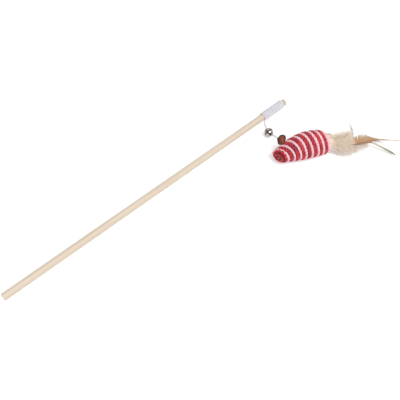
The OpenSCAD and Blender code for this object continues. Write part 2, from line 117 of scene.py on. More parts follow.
def unit(v: np.ndarray) -> np.ndarray:
    """The vectors of v, each made one long."""
    return v / np.maximum(np.linalg.norm(v, axis=-1, keepdims=True), TINY)


def srgb(red: int, green: int, blue: int) -> Color:
    """A screen colour, 0 to 255, as the linear colour that shaders take."""
    return tuple((c / 255 / 12.92) if c <= 10 else ((c / 255 + 0.055) / 1.055) ** 2.4
                 for c in (red, green, blue))


def arc_lengths(points: np.ndarray) -> np.ndarray:
    """Distance of each point from the first one, along the line through them."""
    return np.concatenate([[0], np.cumsum(np.linalg.norm(np.diff(points, axis=0), axis=1))])


def bow(root: np.ndarray, middle: np.ndarray, tip: np.ndarray, span: np.ndarray) -> np.ndarray:
    """Points from root to tip on a curve that is drawn towards the middle point."""
    return (np.outer((1 - span) ** 2, root) + np.outer(2 * span * (1 - span), middle)
            + np.outer(span ** 2, tip))


def resample(points: np.ndarray, step: float, fineness: int = 16) -> np.ndarray:
    """Points a fixed step apart along a smooth curve through the given ones.

    Args:
        points: The curve's points.
        step: Distance between the new points, in the same unit.
        fineness: Pieces that each span is cut into, to measure the curve.

    Returns:
        The new points, with the first and last kept.
    """
    ext = np.vstack([2 * points[0] - points[1], points, 2 * points[-1] - points[-2]])
    t = np.linspace(0, 1, fineness, endpoint=False)[:, None]
    fine = []
    for i in range(1, len(ext) - 2):
        p0, p1, p2, p3 = ext[i - 1:i + 3]
        fine.append(0.5 * (2 * p1 + (p2 - p0) * t + (2 * p0 - 5 * p1 + 4 * p2 - p3) * t * t
                           + (3 * p1 - p0 - 3 * p2 + p3) * t ** 3))
    fine = np.vstack([*fine, points[-1:]])
    arc = arc_lengths(fine)
    at = np.linspace(0, arc[-1], max(int(round(arc[-1] / step)), 2) + 1)
    return np.stack([np.interp(at, arc, axis) for axis in fine.T], axis=1)


# Meshes

def deselect() -> None:
    """Deselects every object, as the CAD nodes are selected after loading."""
    for obj in bpy.context.view_layer.objects:
        obj.select_set(False)


def activate(obj: Object) -> None:
    """Makes obj the one selected and active object."""
    deselect()
    obj.select_set(True)
    bpy.context.view_layer.objects.active = obj


def placed(name: str) -> Object:
    """Names the object just added and moves its place and turn into its mesh."""
    obj = bpy.context.active_object
    obj.name = obj.data.name = name
    obj.data.transform(obj.matrix_basis)
    obj.matrix_basis = Matrix.Identity(4)
    return obj


def modify(obj: Object, kind: str, **settings: object) -> Object:
    """Adds one modifier to an object and applies it.

    Args:
        obj: The object.
        kind: Kind of modifier.
        **settings: The modifier's properties.

    Returns:
        The same object.
    """
    activate(obj)
    modifier = obj.modifiers.new(kind.lower(), kind)
    for key, value in settings.items():
        setattr(modifier, key, value)
    bpy.ops.object.modifier_apply(modifier=modifier.name)
    return obj


def combine(obj: Object, tool: Object, operation: str) -> None:
    """Joins a solid to an object or cuts it away, and removes the solid."""
    modify(obj, "BOOLEAN", operation=operation, object=tool)
    bpy.data.objects.remove(tool)


def divide(obj: Object, places: Sequence[Point], normal: Point) -> None:
    """Adds edges to an object where planes cross it.

    Args:
        obj: The object.
        places: One point of each plane, in metres.
        normal: Normal of the planes.
    """
    activate(obj)
    bpy.ops.object.mode_set(mode="EDIT")
    for place in places:
        bpy.ops.mesh.select_all(action="SELECT")
        bpy.ops.mesh.bisect(plane_co=place, plane_no=normal)
    bpy.ops.mesh.select_all(action="DESELECT")
    bpy.ops.object.mode_set(mode="OBJECT")


def smooth(obj: Object, angle_deg: float) -> Object:
    """Shades an object smooth, with edges kept over the given angle."""
    activate(obj)
    bpy.ops.object.shade_smooth_by_angle(angle=math.radians(angle_deg))
    return obj


def add_tint(mesh: bpy.types.Mesh, values: Sequence[float]) -> None:
    """Adds a number for each point, which materials read as "tint"."""
    attribute = mesh.attributes.new("tint", "FLOAT", "POINT")
    attribute.data.foreach_set("value", np.asarray(values, np.float32))


def mesh_object(name: str, verts: np.ndarray, faces: Sequence[Sequence[int]],
                tint: np.ndarray, uvs: np.ndarray | None = None) -> Object:
    """Makes a smooth shaded object from points and faces.

    Args:
        name: Name of the object.
        verts: Points in the row frame, in metres.
        faces: Point numbers of each face.
        tint: One number for each point.
        uvs: One pair for each corner of each face.

    Returns:
        The new object, at the origin.
    """
    mesh = bpy.data.meshes.new(name)
    mesh.from_pydata(verts.tolist(), [], [list(f) for f in faces])
    if uvs is not None:
        layer = mesh.uv_layers.new(name="UVMap")
        layer.data.foreach_set("uv", np.asarray(uvs, np.float32).ravel())
    add_tint(mesh, tint)
    mesh.polygons.foreach_set("use_smooth", np.ones(len(mesh.polygons), bool))
    mesh.update()
    obj = bpy.data.objects.new(name, mesh)
    bpy.context.scene.collection.objects.link(obj)
    return obj


@dataclass(frozen=True)
class Lay:
    """How a strand's plies are twisted, with the length of a twist in mm."""

    sides: int
    depth_share: float
    twist_len: float
    plies: int = 3
    wander: float = 0.0


CORD_LAY = Lay(18, 0.13, 4.2)
KNOT_LAY = Lay(14, 0.12, 4.2)
ROPE_END_LAY = Lay(26, 0.24, 7.0)
PLAIN_LAY = Lay(8, 0.0, 1000.0, plies=1)


@dataclass
class Strand:
    """A cord, rope or shaft swept along a path, with its twisted plies, in metres."""

    path: np.ndarray
    outward: np.ndarray
    half_height: np.ndarray | float
    half_width: np.ndarray | float
    lay: Lay
    ply_power: float = 0.9
    wander_beat: float = 1.7
    swell_beat: float = 2.3
    swell_share: float = 0.06
    cap_share: float = 0.05

    def rings(self) -> tuple[np.ndarray, np.ndarray, np.ndarray]:
        """Rings of points, their turn angles and their place along the strand."""
        along = unit(np.gradient(self.path, axis=0))
        side = unit(np.cross(along, self.outward))
        up = np.cross(side, along)
        arc = arc_lengths(self.path)
        twist = arc / (self.lay.twist_len * MM)
        theta = 2 * math.pi * np.arange(self.lay.sides) / self.lay.sides
        turn = 2 * math.pi * twist + self.lay.wander * np.sin(twist * self.wander_beat)
        ply = np.abs(np.cos(self.lay.plies / 2 * (theta[None, :] - turn[:, None])))
        swell = self.lay.wander * self.swell_share * np.sin(twist * self.swell_beat + 1)
        shape = 1 - self.lay.depth_share * (1 - ply ** self.ply_power)
        shape = shape * (1 + swell[:, None])
        reach = np.minimum(arc, arc[-1] - arc) / np.mean(self.half_width)
        cap = np.sqrt(1 - (1 - np.clip(reach, self.cap_share, 1)) ** 2)
        height = (self.half_height * cap)[:, None] * shape
        width = (self.half_width * cap)[:, None] * shape
        points = (self.path[:, None, :]
                  + up[:, None, :] * (height * np.cos(theta))[:, :, None]
                  + side[:, None, :] * (width * np.sin(theta))[:, :, None])
        return points, turn, arc

    def build(self, name: str, floor: float | None = None) -> Object:
        """Makes the strand's mesh.

        Args:
            name: Name of the object.
            floor: Height under which no point goes, if any.

        Returns:
            The object, whose UV map runs round the twist and along the strand, and
            whose "tint" is 1 on the crest and less towards the sides.
        """
        points, turn, arc = self.rings()
        rows, n = points.shape[:2]
        verts = points.reshape(-1, 3)
        if floor is not None:
            verts[:, 2] = np.maximum(verts[:, 2], floor)
        i = np.repeat(np.arange(rows - 1), n)
        j = np.tile(np.arange(n), rows - 1)
        a, b = i * n + j, i * n + (j + 1) % n
        quads = np.stack([a, a + n, b + n, b], axis=1)
        u0, u1 = (j / n - turn[k] / (2 * math.pi) for k in (i, i + 1))
        uv = np.stack([np.stack(pair, 1) for pair in (
            (u0, arc[i]), (u1, arc[i + 1]), (u1 + 1 / n, arc[i + 1]), (u0 + 1 / n, arc[i]))],
            axis=1).reshape(-1, 2)
        ends = [list(range(n)), [(rows - 1) * n + k for k in reversed(range(n))]]
        uv = np.vstack([uv, np.zeros((2 * n, 2))])
        crest = np.tile(np.cos(2 * math.pi * np.arange(n) / n), rows)
        return mesh_object(name, verts, quads.tolist() + ends, crest, uv)


def ribbons(points: np.ndarray, across: np.ndarray, widths: np.ndarray
            ) -> tuple[np.ndarray, np.ndarray]:
    """Flat tapering ribbons, one for each row of points.

    Args:
        points: Ribbon, place along it and coordinates.
        across: Direction of each ribbon's width.
        widths: Half width at each place, for all ribbons or for each one.

    Returns:
        The points, and the faces' point numbers.
    """
    count, steps = points.shape[:2]
    half = across[:, None, :] * np.broadcast_to(widths, (count, steps))[:, :, None]
    verts = np.stack([points - half, points + half], axis=2).reshape(-1, 3)
    base = (np.arange(count)[:, None] * steps + np.arange(steps - 1)[None, :]).ravel() * 2
    return verts, np.stack([base, base + 1, base + 3, base + 2], axis=1)


# Shader graphs

class Graph:
    """A short way to add and join nodes in a material or a node group."""

    def __init__(self, tree: bpy.types.NodeTree) -> None:
        """Keeps the tree that nodes are added to."""
        self.tree = tree

    def join(self, out: Socket, into: Socket) -> None:
        """Joins two sockets."""
        self.tree.links.new(out, into)

    def feed(self, socket: Socket, value: object) -> None:
        """Joins a socket to another one, or sets it to a plain value."""
        if isinstance(value, bpy.types.NodeSocket):
            self.join(value, socket)
        else:
            socket.default_value = (*value, 1.0) if socket.type == "RGBA" else value

    def node(self, kind: str, inputs: dict[str, object] | None = None,
             **settings: object) -> Node:
        """Adds a node.

        Args:
            kind: Type of the node.
            inputs: What goes into its inputs, by their names.
            **settings: Its properties.

        Returns:
            The new node.
        """
        made = self.tree.nodes.new(kind)
        for key, value in settings.items():
            setattr(made, key, value)
        for key, value in (inputs or {}).items():
            self.feed(made.inputs[key], value)
        return made

    def math(self, operation: str, *values: object, clamp: bool = False) -> Socket:
        """Adds a Math node.

        Args:
            operation: What it works out.
            *values: What goes into its inputs, in order.
            clamp: Whether the result is held between 0 and 1.

        Returns:
            The result.
        """
        made = self.node("ShaderNodeMath", operation=operation, use_clamp=clamp)
        for socket, value in zip(made.inputs, values):
            self.feed(socket, value)
        return made.outputs[0]

    def vector(self, operation: str, *values: object) -> Node:
        """Adds a Vector Math node.

        Args:
            operation: What it works out.
            *values: What goes into its inputs, in order.

        Returns:
            The node.
        """
        made = self.node("ShaderNodeVectorMath", operation=operation)
        for socket, value in zip(made.inputs, values):
            self.feed(socket, value)
        return made

    def axes(self, vector: Socket) -> tuple[Socket, Socket, Socket]:
        """X, Y and Z of a vector."""
        return tuple(self.node("ShaderNodeSeparateXYZ", {"Vector": vector}).outputs)

    def uv(self) -> tuple[Socket, Socket, Socket]:
        """U and V of the UV map, and 0."""
        return self.axes(self.node("ShaderNodeTexCoord").outputs["UV"])

    def tint(self) -> Socket:
        """The number that each point of the mesh carries."""
        return self.node("ShaderNodeAttribute", attribute_name="tint").outputs["Fac"]

    def mix(self, share: object, first: object, second: object) -> Socket:
        """Mixes two colours.

        Args:
            share: Share of the second colour.
            first: The first colour.
            second: The second colour.

        Returns:
            The mixed colour.
        """
        made = self.node("ShaderNodeMix", data_type="RGBA")
        sockets = {socket.identifier: socket for socket in made.inputs}
        for key, value in (("Factor_Float", share), ("A_Color", first), ("B_Color", second)):
            self.feed(sockets[key], value)
        return next(s for s in made.outputs if s.identifier == "Result_Color")

    def ramp(self, value: object, low: float, high: float) -> Socket:
        """Smooth step of a value from 0 at low to 1 at high."""
        inputs = {"Value": value, "From Min": low, "From Max": high}
        return self.node("ShaderNodeMapRange", inputs,
                         interpolation_type="SMOOTHSTEP").outputs["Result"]

    def layer(self, color: object, over: object, value: object, low: float, high: float,
              share: float = 1.0) -> Socket:
        """Lays a colour over another one.

        Args:
            color: The colour below.
            over: The colour on top.
            value: What says where the top colour shows.
            low: Value up to which it doesn't show.
            high: Value from which it shows fully.
            share: How opaque it is there.

        Returns:
            The resulting colour.
        """
        part = self.ramp(value, low, high)
        if share < 1:
            part = self.math("MULTIPLY", part, share)
        return self.mix(part, color, over)

    def noise(self, vector: Socket, detail: float, roughness: float = 0.5,
              scale: object = 1.0) -> Socket:
        """Value of a noise texture."""
        inputs = {"Vector": vector, "Scale": scale, "Detail": detail, "Roughness": roughness}
        return self.node("ShaderNodeTexNoise", inputs).outputs["Fac"]

    def place(self, along: float = 1.0, across: float = 1.0) -> Socket:
        """Object coordinates, scaled along X and across it."""
        scale = (1 / along, 1 / across, 1 / across)
        vector = self.node("ShaderNodeTexCoord").outputs["Object"]
        return self.node("ShaderNodeMapping", {"Vector": vector, "Scale": scale},
                         vector_type="TEXTURE").outputs["Vector"]

    def group(self, name: str, fill: Callable[["Graph", Node, Node], None],
              inputs: dict[str, object], outputs: Sequence[str]) -> list[Socket]:
        """Places a node group, which is made when it is first asked for.

        Args:
            name: Name of the group.
            fill: Function that fills it, with its graph, input node and output node.
            inputs: What goes into its inputs, by their names.
            outputs: Names of its outputs, all plain numbers.

        Returns:
            The outputs.
        """
        tree = bpy.data.node_groups.get(name)
        if tree is None:
            tree = bpy.data.node_groups.new(name, "ShaderNodeTree")
            for key in inputs:
                kind = "NodeSocketVector" if key == "Vector" else "NodeSocketFloat"
                tree.interface.new_socket(key, in_out="INPUT", socket_type=kind)
            for key in outputs:
                tree.interface.new_socket(key, in_out="OUTPUT", socket_type="NodeSocketFloat")
            graph = Graph(tree)
            fill(graph, graph.node("NodeGroupInput"), graph.node("NodeGroupOutput"))
        return list(self.node("ShaderNodeGroup", inputs, node_tree=tree).outputs)

    def creases(self, plies: float, fineness: float, along: float) -> list[Socket]:
        """Creases, valleys between plies and patches of a strand, by its UV map."""
        inputs = {"Plies": plies, "Fineness": fineness, "Along": along}
        return self.group("PlyCreases", fill_creases, inputs, ("Crease", "Valley", "Patch"))

    def mottle(self, coarse: float, fine: float) -> list[Socket]:
        """Coarse and fine noise on Object coordinates."""
        inputs = {"Vector": self.place(), "Coarse Scale": coarse, "Fine Scale": fine}
        return self.group("Mottle", fill_mottle, inputs, ("Coarse", "Fine"))


def fill_creases(graph: Graph, source: Node, sink: Node) -> None:
    """Fills the group that reads a strand's UV map.

    Args:
        graph: The group's graph.
        source: Its input node.
        sink: Its output node.
    """
    u, v, _ = graph.uv()
    angle = graph.math("MULTIPLY", u, 2 * math.pi)
    circle = [graph.math("COSINE", angle), graph.math("SINE", angle)]

    def noise(ring: Sequence[Socket], along: object, detail: float, roughness: float
              ) -> Socket:
        """Noise that runs with the twist."""
        x, y = ring
        place = graph.node("ShaderNodeCombineXYZ",
                           {"X": x, "Y": y, "Z": graph.math("MULTIPLY", v, along)})
        return graph.noise(place.outputs[0], detail, roughness)

    fine = [graph.math("MULTIPLY", c, source.outputs["Fineness"]) for c in circle]
    crease = noise(fine, source.outputs["Along"], 4, 0.6)
    half = graph.math("MULTIPLY", angle, graph.math("MULTIPLY", source.outputs["Plies"], 0.5))
    ply = graph.math("ABSOLUTE", graph.math("COSINE", half))
    graph.join(crease, sink.inputs["Crease"])
    graph.join(graph.math("SUBTRACT", 1.0, ply), sink.inputs["Valley"])
    graph.join(noise(circle, 260.0, 2, 0.5), sink.inputs["Patch"])


def fill_mottle(graph: Graph, source: Node, sink: Node) -> None:
    """Fills the group of coarse and fine noise, for uneven surfaces.

    Args:
        graph: The group's graph.
        source: Its input node.
        sink: Its output node.
    """
    for key, detail in (("Coarse", 2.0), ("Fine", 4.0)):
        value = graph.noise(source.outputs["Vector"], detail,
                            scale=source.outputs[f"{key} Scale"])
        graph.join(value, sink.inputs[key])


class Finish:
    """Base of every finish: a Principled BSDF with the colour and height of paint().

    bump is the bump's strength and height in metres.
    """

    name: str
    roughness: float = 0.6
    sheen: float = 0.0
    bump: Span = (0.0, 0.0)

    def paint(self, graph: Graph, shader: Node) -> tuple[Socket, Socket | None]:
        """Paints the surface.

        Args:
            graph: The material's graph.
            shader: Its Principled BSDF, whose other inputs may be fed here.

        Returns:
            Its colour and, where there is bump, its height.
        """
        raise NotImplementedError

    def material(self) -> Material:
        """The finished material."""
        material = bpy.data.materials.new(self.name)
        material.use_nodes = True
        material.node_tree.nodes.clear()
        graph = Graph(material.node_tree)
        shader = graph.node("ShaderNodeBsdfPrincipled", {
            "Roughness": self.roughness, "Sheen Weight": self.sheen})
        graph.node("ShaderNodeOutputMaterial", {"Surface": shader.outputs["BSDF"]})
        color, height = self.paint(graph, shader)
        graph.join(color, shader.inputs["Base Color"])
        if height is not None:
            inputs = {"Strength": self.bump[0], "Distance": self.bump[1], "Height": height}
            relief = graph.node("ShaderNodeBump", inputs)
            graph.join(relief.outputs["Normal"], shader.inputs["Normal"])
        return material


@dataclass(frozen=True)
class WoodFinish(Finish):
    """Pale sanded dowel with fine straight grain, pores and end rings."""

    name: str = "pale_dowel_wood"
    light: Color = srgb(226, 212, 194)
    dark: Color = srgb(212, 192, 170)
    pore: Color = srgb(188, 160, 130)
    # Colour of the painted shade on the tip.
    shade_and_grey_tone: Color = srgb(194, 185, 164)
    roughness: float = 0.55
    bump: Span = (0.25, 0.0001)
    ring_scale: Point = (0.02, 1.0, 1.0)
    pith: Point = (0.0, 0.013, 0.021)
    ring_wobble: float = 0.0011
    ring_beat: float = 3800.0

    def paint(self, graph: Graph, shader: Node) -> tuple[Socket, Socket]:
        """Grain, rings about a pith beside the dowel, pores, and painted shade that greys the
        tip.
        """
        grain = graph.noise(graph.place(along=9.0, across=420.0), 4, 0.6)
        from_pith = graph.vector("MULTIPLY_ADD", graph.place(), self.ring_scale, self.pith)
        rings = graph.vector("LENGTH", from_pith.outputs[0]).outputs["Value"]
        wobble = graph.math("MULTIPLY_ADD", grain, self.ring_wobble, rings)
        ring = graph.math("SINE", graph.math("MULTIPLY", wobble, self.ring_beat))
        share = graph.math("MULTIPLY_ADD", ring, 0.2, grain, clamp=True)
        color = graph.layer(self.light, self.dark, share, 0.28, 0.85)
        pores = graph.noise(graph.place(along=60.0, across=2600.0), 2)
        color = graph.layer(color, self.pore, pores, 0.66, 0.76, share=0.55)
        broad = graph.noise(graph.place(along=14.0, across=60.0), 1)
        color = graph.layer(color, self.dark, broad, 0.45, 0.75, share=0.35)
        x, _, _ = graph.axes(graph.place())
        # Painted shade: the tip greys from 0.39 m to 0.397 m along the rod.
        color = graph.layer(color, self.shade_and_grey_tone, x, 0.39, 0.397, share=0.9)
        graph.join(graph.math("MULTIPLY_ADD", pores, 0.2, 0.45), shader.inputs["Roughness"])
        return color, graph.math("SUBTRACT", grain, graph.ramp(pores, 0.66, 0.76))


@dataclass(frozen=True)
class CordFinish(Finish):
    """White waxed cord of three plies."""

    name: str = "white_waxed_cord"
    light: Color = srgb(240, 240, 245)
    # Colour of the painted shade in the valleys and creases.
    valley_shade: Color = srgb(186, 187, 198)
    roughness: float = 0.5
    sheen: float = 0.25
    bump: Span = (0.3, 0.0002)

    def paint(self, graph: Graph, shader: Node) -> tuple[Socket, Socket]:
        """Painted shade in the valleys between the plies and in the creases of the fuzz."""
        crease, valley_shade, _ = graph.creases(plies=3.0, fineness=5.0, along=900.0)
        # Painted shade in the valleys between the plies, then in the creases.
        color = graph.layer(self.light, self.valley_shade, valley_shade, 0.45, 1.0, share=0.8)
        return graph.layer(color, self.valley_shade, crease, 0.4, 0.7, share=0.3), crease


@dataclass(frozen=True)
class PaperRopeFinish(Finish):
    """Twisted paper rope: creased plies with painted highlight and painted shade in valleys."""

    name: str = "red_paper_rope"
    base: Color = srgb(186, 24, 38)
    # Colour of the painted highlight on the creases, and of broad lighter patches.
    highlight_and_light_patch: Color = srgb(228, 62, 72)
    # Colour of the painted shade in folds, valleys and on the sides, and of broad darker
    # patches.
    shade_and_dark_patch: Color = srgb(82, 3, 20)
    # Share of the painted shade in the valleys between the plies.
    valley_shade_share: float = 0.9
    # Share of the painted shade on the rope's sides.
    edge_share: float = 0.9
    patch_share: float = 0.5
    roughness: float = 0.62
    bump: Span = (0.5, 0.0006)

    def paint(self, graph: Graph, shader: Node) -> tuple[Socket, Socket]:
        """Painted highlight on creases; painted shade in folds, valleys, sides; patches; "tint"
        is the crest.
        """
        crease, valley_shade, patch = graph.creases(plies=3.0, fineness=2.6, along=420.0)
        # Painted highlight on the creases.
        color = graph.layer(self.base, self.highlight_and_light_patch, crease, 0.42, 0.7, share=0.75)
        # Painted shade in the folds.
        color = graph.layer(color, self.shade_and_dark_patch, patch, 0.52, 0.72, share=0.5)
        # Painted shade in the valleys between the plies.
        color = graph.layer(color, self.shade_and_dark_patch, valley_shade, 0.35, 0.9, self.valley_shade_share)
        broad, _ = graph.mottle(110.0, 420.0)
        # Broad lighter and darker patches of tone.
        color = graph.layer(color, self.highlight_and_light_patch, broad, 0.5, 0.72, self.patch_share)
        color = graph.layer(color, self.shade_and_dark_patch, broad, 0.48, 0.3, self.patch_share)
        # Painted shade on the sides, where "tint" falls away from the crest.
        fold = graph.ramp(patch, 0.52, 0.72)
        side_shade = graph.math("MULTIPLY_ADD", fold, -0.25, graph.tint())
        color = graph.layer(color, self.shade_and_dark_patch, side_shade, 0.72, 0.2, self.edge_share)
        for key, value in (("Weight", 0.3), ("Radius", (1.0, 0.3, 0.35)), ("Scale", 0.0014)):
            shader.inputs[f"Subsurface {key}"].default_value = value
        rough = graph.math("MULTIPLY_ADD", graph.ramp(crease, 0.42, 0.7), -0.18,
                           self.roughness)
        graph.join(rough, shader.inputs["Roughness"])
        return color, crease


@dataclass(frozen=True)
class MetalFinish(Finish):
    """Bright plated or plain steel, with faint rubbing marks."""

    name: str = "bell_plating"
    color: Color = srgb(178, 171, 170)
    roughness: float = 0.16
    mark: float = 0.12
    dull: Color = srgb(134, 127, 128)
    bump: Span = (0.12, 0.0003)

    def paint(self, graph: Graph, shader: Node) -> tuple[Socket, Socket]:
        """Dull patches and rougher rubbing marks."""
        shader.inputs["Metallic"].default_value = 1.0
        coarse, fine = graph.mottle(260.0, 2400.0)
        rough = graph.math("MULTIPLY_ADD", graph.ramp(fine, 0.4, 0.75), self.mark,
                           self.roughness)
        graph.join(rough, shader.inputs["Roughness"])
        return graph.layer(self.color, self.dull, coarse, 0.45, 0.8, share=0.25), coarse


@dataclass(frozen=True)
class SuedeFinish(Finish):
    """Soft suede: napped, darker at its cut rim."""

    name: str = "brown_suede"
    base: Color = srgb(146, 64, 22)
    dark: Color = srgb(40, 22, 17)
    # Paler greyish colour of the streak low on the ear and of the nap's flecks.
    shade_and_grey_tone: Color = srgb(170, 124, 112)
    roughness: float = 0.95
    sheen: float = 0.35
    bump: Span = (0.6, 0.0003)

    def paint(self, graph: Graph, shader: Node) -> tuple[Socket, Socket]:
        """Nap, rim and a paler greyish streak; "tint" is 0 at the rim and over 1 along the
        streak.
        """
        coarse, fine = graph.mottle(420.0, 3600.0)
        color = graph.mix(graph.math("MULTIPLY", coarse, 0.35), self.base, self.dark)
        color = graph.layer(color, self.dark, graph.tint(), 0.6, 0.12, share=0.9)
        # A paler greyish streak low on the ear, where "tint" is over 1.
        color = graph.layer(color, self.shade_and_grey_tone, graph.tint(), 1.0, 1.5, share=0.8)
        return graph.layer(color, self.shade_and_grey_tone, fine, 0.45, 0.7, share=0.16), fine


@dataclass(frozen=True)
class DownFinish(Finish):
    """Soft down: pale barbs of slightly different tones."""

    name: str = "cream_down"
    base: Color = srgb(255, 243, 227)
    shade: Color = srgb(250, 229, 208)
    roughness: float = 0.9
    sheen: float = 0.3

    def paint(self, graph: Graph, shader: Node) -> tuple[Socket, None]:
        """Patches, and a tone for each barb; "tint" varies from barb to barb."""
        coarse, _ = graph.mottle(150.0, 1500.0)
        share = graph.math("MULTIPLY_ADD", coarse, 0.6, graph.tint())
        return graph.layer(self.base, self.shade, share, 0.35, 1.25), None


@dataclass(frozen=True)
class VaneFinish(Finish):
    """Feather vane: colour by its UV map, across the barbs and along the shaft."""

    name: str = "tan_vane"
    near: Color = srgb(156, 94, 44)
    middle: Color = srgb(196, 148, 100)
    far: Color = srgb(176, 158, 140)
    tip: Color = srgb(138, 116, 100)
    tip_from: float = 0.55
    tip_fade: float = 0.3
    roughness: float = 0.6
    sheen: float = 0.2
    bump: Span = (0.2, 0.0002)

    def paint(self, graph: Graph, shader: Node) -> tuple[Socket, Socket]:
        """Both edges, faded patches, the tip and a tone for each barb."""
        across, along, _ = graph.uv()
        color = graph.layer(self.middle, self.near, across, 0.45, 0.02)
        color = graph.layer(color, self.far, across, 0.55, 0.98)
        coarse, fine = graph.mottle(190.0, 2600.0)
        color = graph.layer(color, self.far, coarse, 0.45, 0.7, share=0.4)
        tip_to = min(self.tip_from + self.tip_fade, 1)
        color = graph.layer(color, self.tip, along, self.tip_from, tip_to)
        return graph.mix(graph.math("MULTIPLY", graph.tint(), 0.3), color, self.far), fine


@dataclass(frozen=True)
class CoreFinish(Finish):
    """Rolled card: dark red between the ropes, pale with glued down at the tail end."""

    name: str = "dark_red_core"
    base: Color = srgb(158, 34, 48)
    dark: Color = srgb(108, 16, 30)
    glued: Color = srgb(240, 216, 200)
    heading_deg: float = -25.0
    glued_from: float = 0.3755
    glued_to: float = 0.377
    roughness: float = 0.85
    bump: Span = (0.5, 0.0003)

    def paint(self, graph: Graph, shader: Node) -> tuple[Socket, Socket]:
        """Mottled card, with its place along the body in metres."""
        coarse, fine = graph.mottle(300.0, 2200.0)
        a = math.radians(self.heading_deg)
        along = graph.vector("DOT_PRODUCT", graph.place(), (math.cos(a), math.sin(a), 0.0))
        color = graph.mix(coarse, self.base, self.dark)
        return graph.layer(color, self.glued, along.outputs["Value"], self.glued_from,
                           self.glued_to), fine


def dress(obj: Object, material: Material, body: str, slot: str, *nodes: str) -> None:
    """Gives a piece its material and body, and reports it.

    Args:
        obj: The piece.
        material: Its material, in its first slot.
        body: The body that it rides.
        slot: Name of its material slot; not used.
        *nodes: The CAD nodes that it stands for.
    """
    if obj.data.materials:
        obj.data.materials[0] = material
    else:
        obj.data.materials.append(material)
    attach(obj, body)
    if nodes:
        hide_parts(*nodes)
    LOG.info("%s rides %s, %d faces", obj.name, body, len(obj.data.polygons))


def dress_node(node: str, material: Material) -> None:
    """Gives a CAD node that stays in view its material."""
    obj = frame["nodes"][node]
    obj.data.materials.clear()
    obj.data.materials.append(material)
    LOG.info("%s keeps its CAD shape", node)


# Camera and light

@dataclass
class PhotoView:
    """Camera at the photograph's viewing angle."""

    place: Point = (-37.618, -327.085, 522.472)
    forward: Point = (0.39885, 0.43962, -0.80477)
    right: Point = (0.74062, -0.67193, 0.0)
    lens: float = 53.547
    sensor: float = 36.0
    clip: Span = (10.0, 20000.0)

    def build(self) -> None:
        """Makes the camera and sets it as the scene's own."""
        data = bpy.data.cameras.new("photo_view")
        data.lens = self.lens
        data.sensor_width = self.sensor
        data.clip_start, data.clip_end = (reach * MM for reach in self.clip)
        camera = bpy.data.objects.new("photo_view", data)
        right, forward = Vector(self.right).normalized(), Vector(self.forward).normalized()
        turn = Matrix((right, right.cross(forward), -forward)).transposed().to_4x4()
        camera.matrix_world = Matrix.Translation(Vector(self.place) * MM) @ turn
        bpy.context.scene.collection.objects.link(camera)
        bpy.context.scene.camera = camera


@dataclass
class Studio:
    """White table, white surroundings and one soft lamp."""

    table_size: float = 6000.0
    table_x: float = 200.0
    table_white: float = 0.9
    table_glow: float = 0.34
    table_roughness: float = 0.9
    table_gloss: float = 0.1
    sky: float = 0.54
    key: float = 1.75
    key_spread_deg: float = 25.0
    key_toward: Point = (-0.1, -0.5, 0.86)

    def build(self) -> None:
        """Makes the table top, the world and the lamp."""
        self.table()
        self.surround()
        self.lamp()

    @staticmethod
    def seen(graph: Graph) -> Socket:
        """1 on rays that the camera, a gloss or glass sends out, and 0 on others."""
        path = graph.node("ShaderNodeLightPath")
        return graph.math("MAXIMUM", path.outputs["Is Camera Ray"], graph.math(
            "MAXIMUM", path.outputs["Is Glossy Ray"], path.outputs["Is Transmission Ray"]))

    def table(self) -> None:
        """White table top, with a glow where it is seen that takes it to full white."""
        bpy.ops.mesh.primitive_plane_add(size=self.table_size * MM,
                                         location=(self.table_x * MM, 0.0, TABLE_Z * MM))
        table = placed("table_top")
        material = bpy.data.materials.new("white_table")
        material.use_nodes = True
        graph = Graph(material.node_tree)
        shader = material.node_tree.nodes["Principled BSDF"]
        graph.feed(shader.inputs["Base Color"], (self.table_white,) * 3)
        shader.inputs["Roughness"].default_value = self.table_roughness
        shader.inputs["Specular IOR Level"].default_value = self.table_gloss
        strength = graph.math("MULTIPLY", self.seen(graph), self.table_glow)
        glow = graph.node("ShaderNodeEmission", {"Color": (1.0, 1.0, 1.0),
                                                 "Strength": strength})
        total = graph.node("ShaderNodeAddShader")
        graph.join(shader.outputs[0], total.inputs[0])
        graph.join(glow.outputs[0], total.inputs[1])
        output = material.node_tree.nodes["Material Output"]
        graph.join(total.outputs[0], output.inputs["Surface"])
        table.data.materials.append(material)

    def surround(self) -> None:
        """White world, at full white only where the camera or a gloss sees it."""
        world = bpy.data.worlds.new("studio")
        bpy.context.scene.world = world
        world.use_nodes = True
        graph = Graph(world.node_tree)
        back = world.node_tree.nodes["Background"]
        graph.feed(back.inputs["Color"], (1.0, 1.0, 1.0))
        graph.join(graph.math("MULTIPLY_ADD", self.seen(graph), 1.0 - self.sky, self.sky),
                   back.inputs["Strength"])

    def lamp(self) -> None:
        """One sun lamp, spread wide for soft shadows."""
        data = bpy.data.lights.new("key", "SUN")
        data.energy = self.key
        data.angle = math.radians(self.key_spread_deg)
        lamp = bpy.data.objects.new("key", data)
        lamp.rotation_euler = Vector(self.key_toward).to_track_quat("Z", "Y").to_euler()
        bpy.context.scene.collection.objects.link(lamp)


# Wand, lead and bell

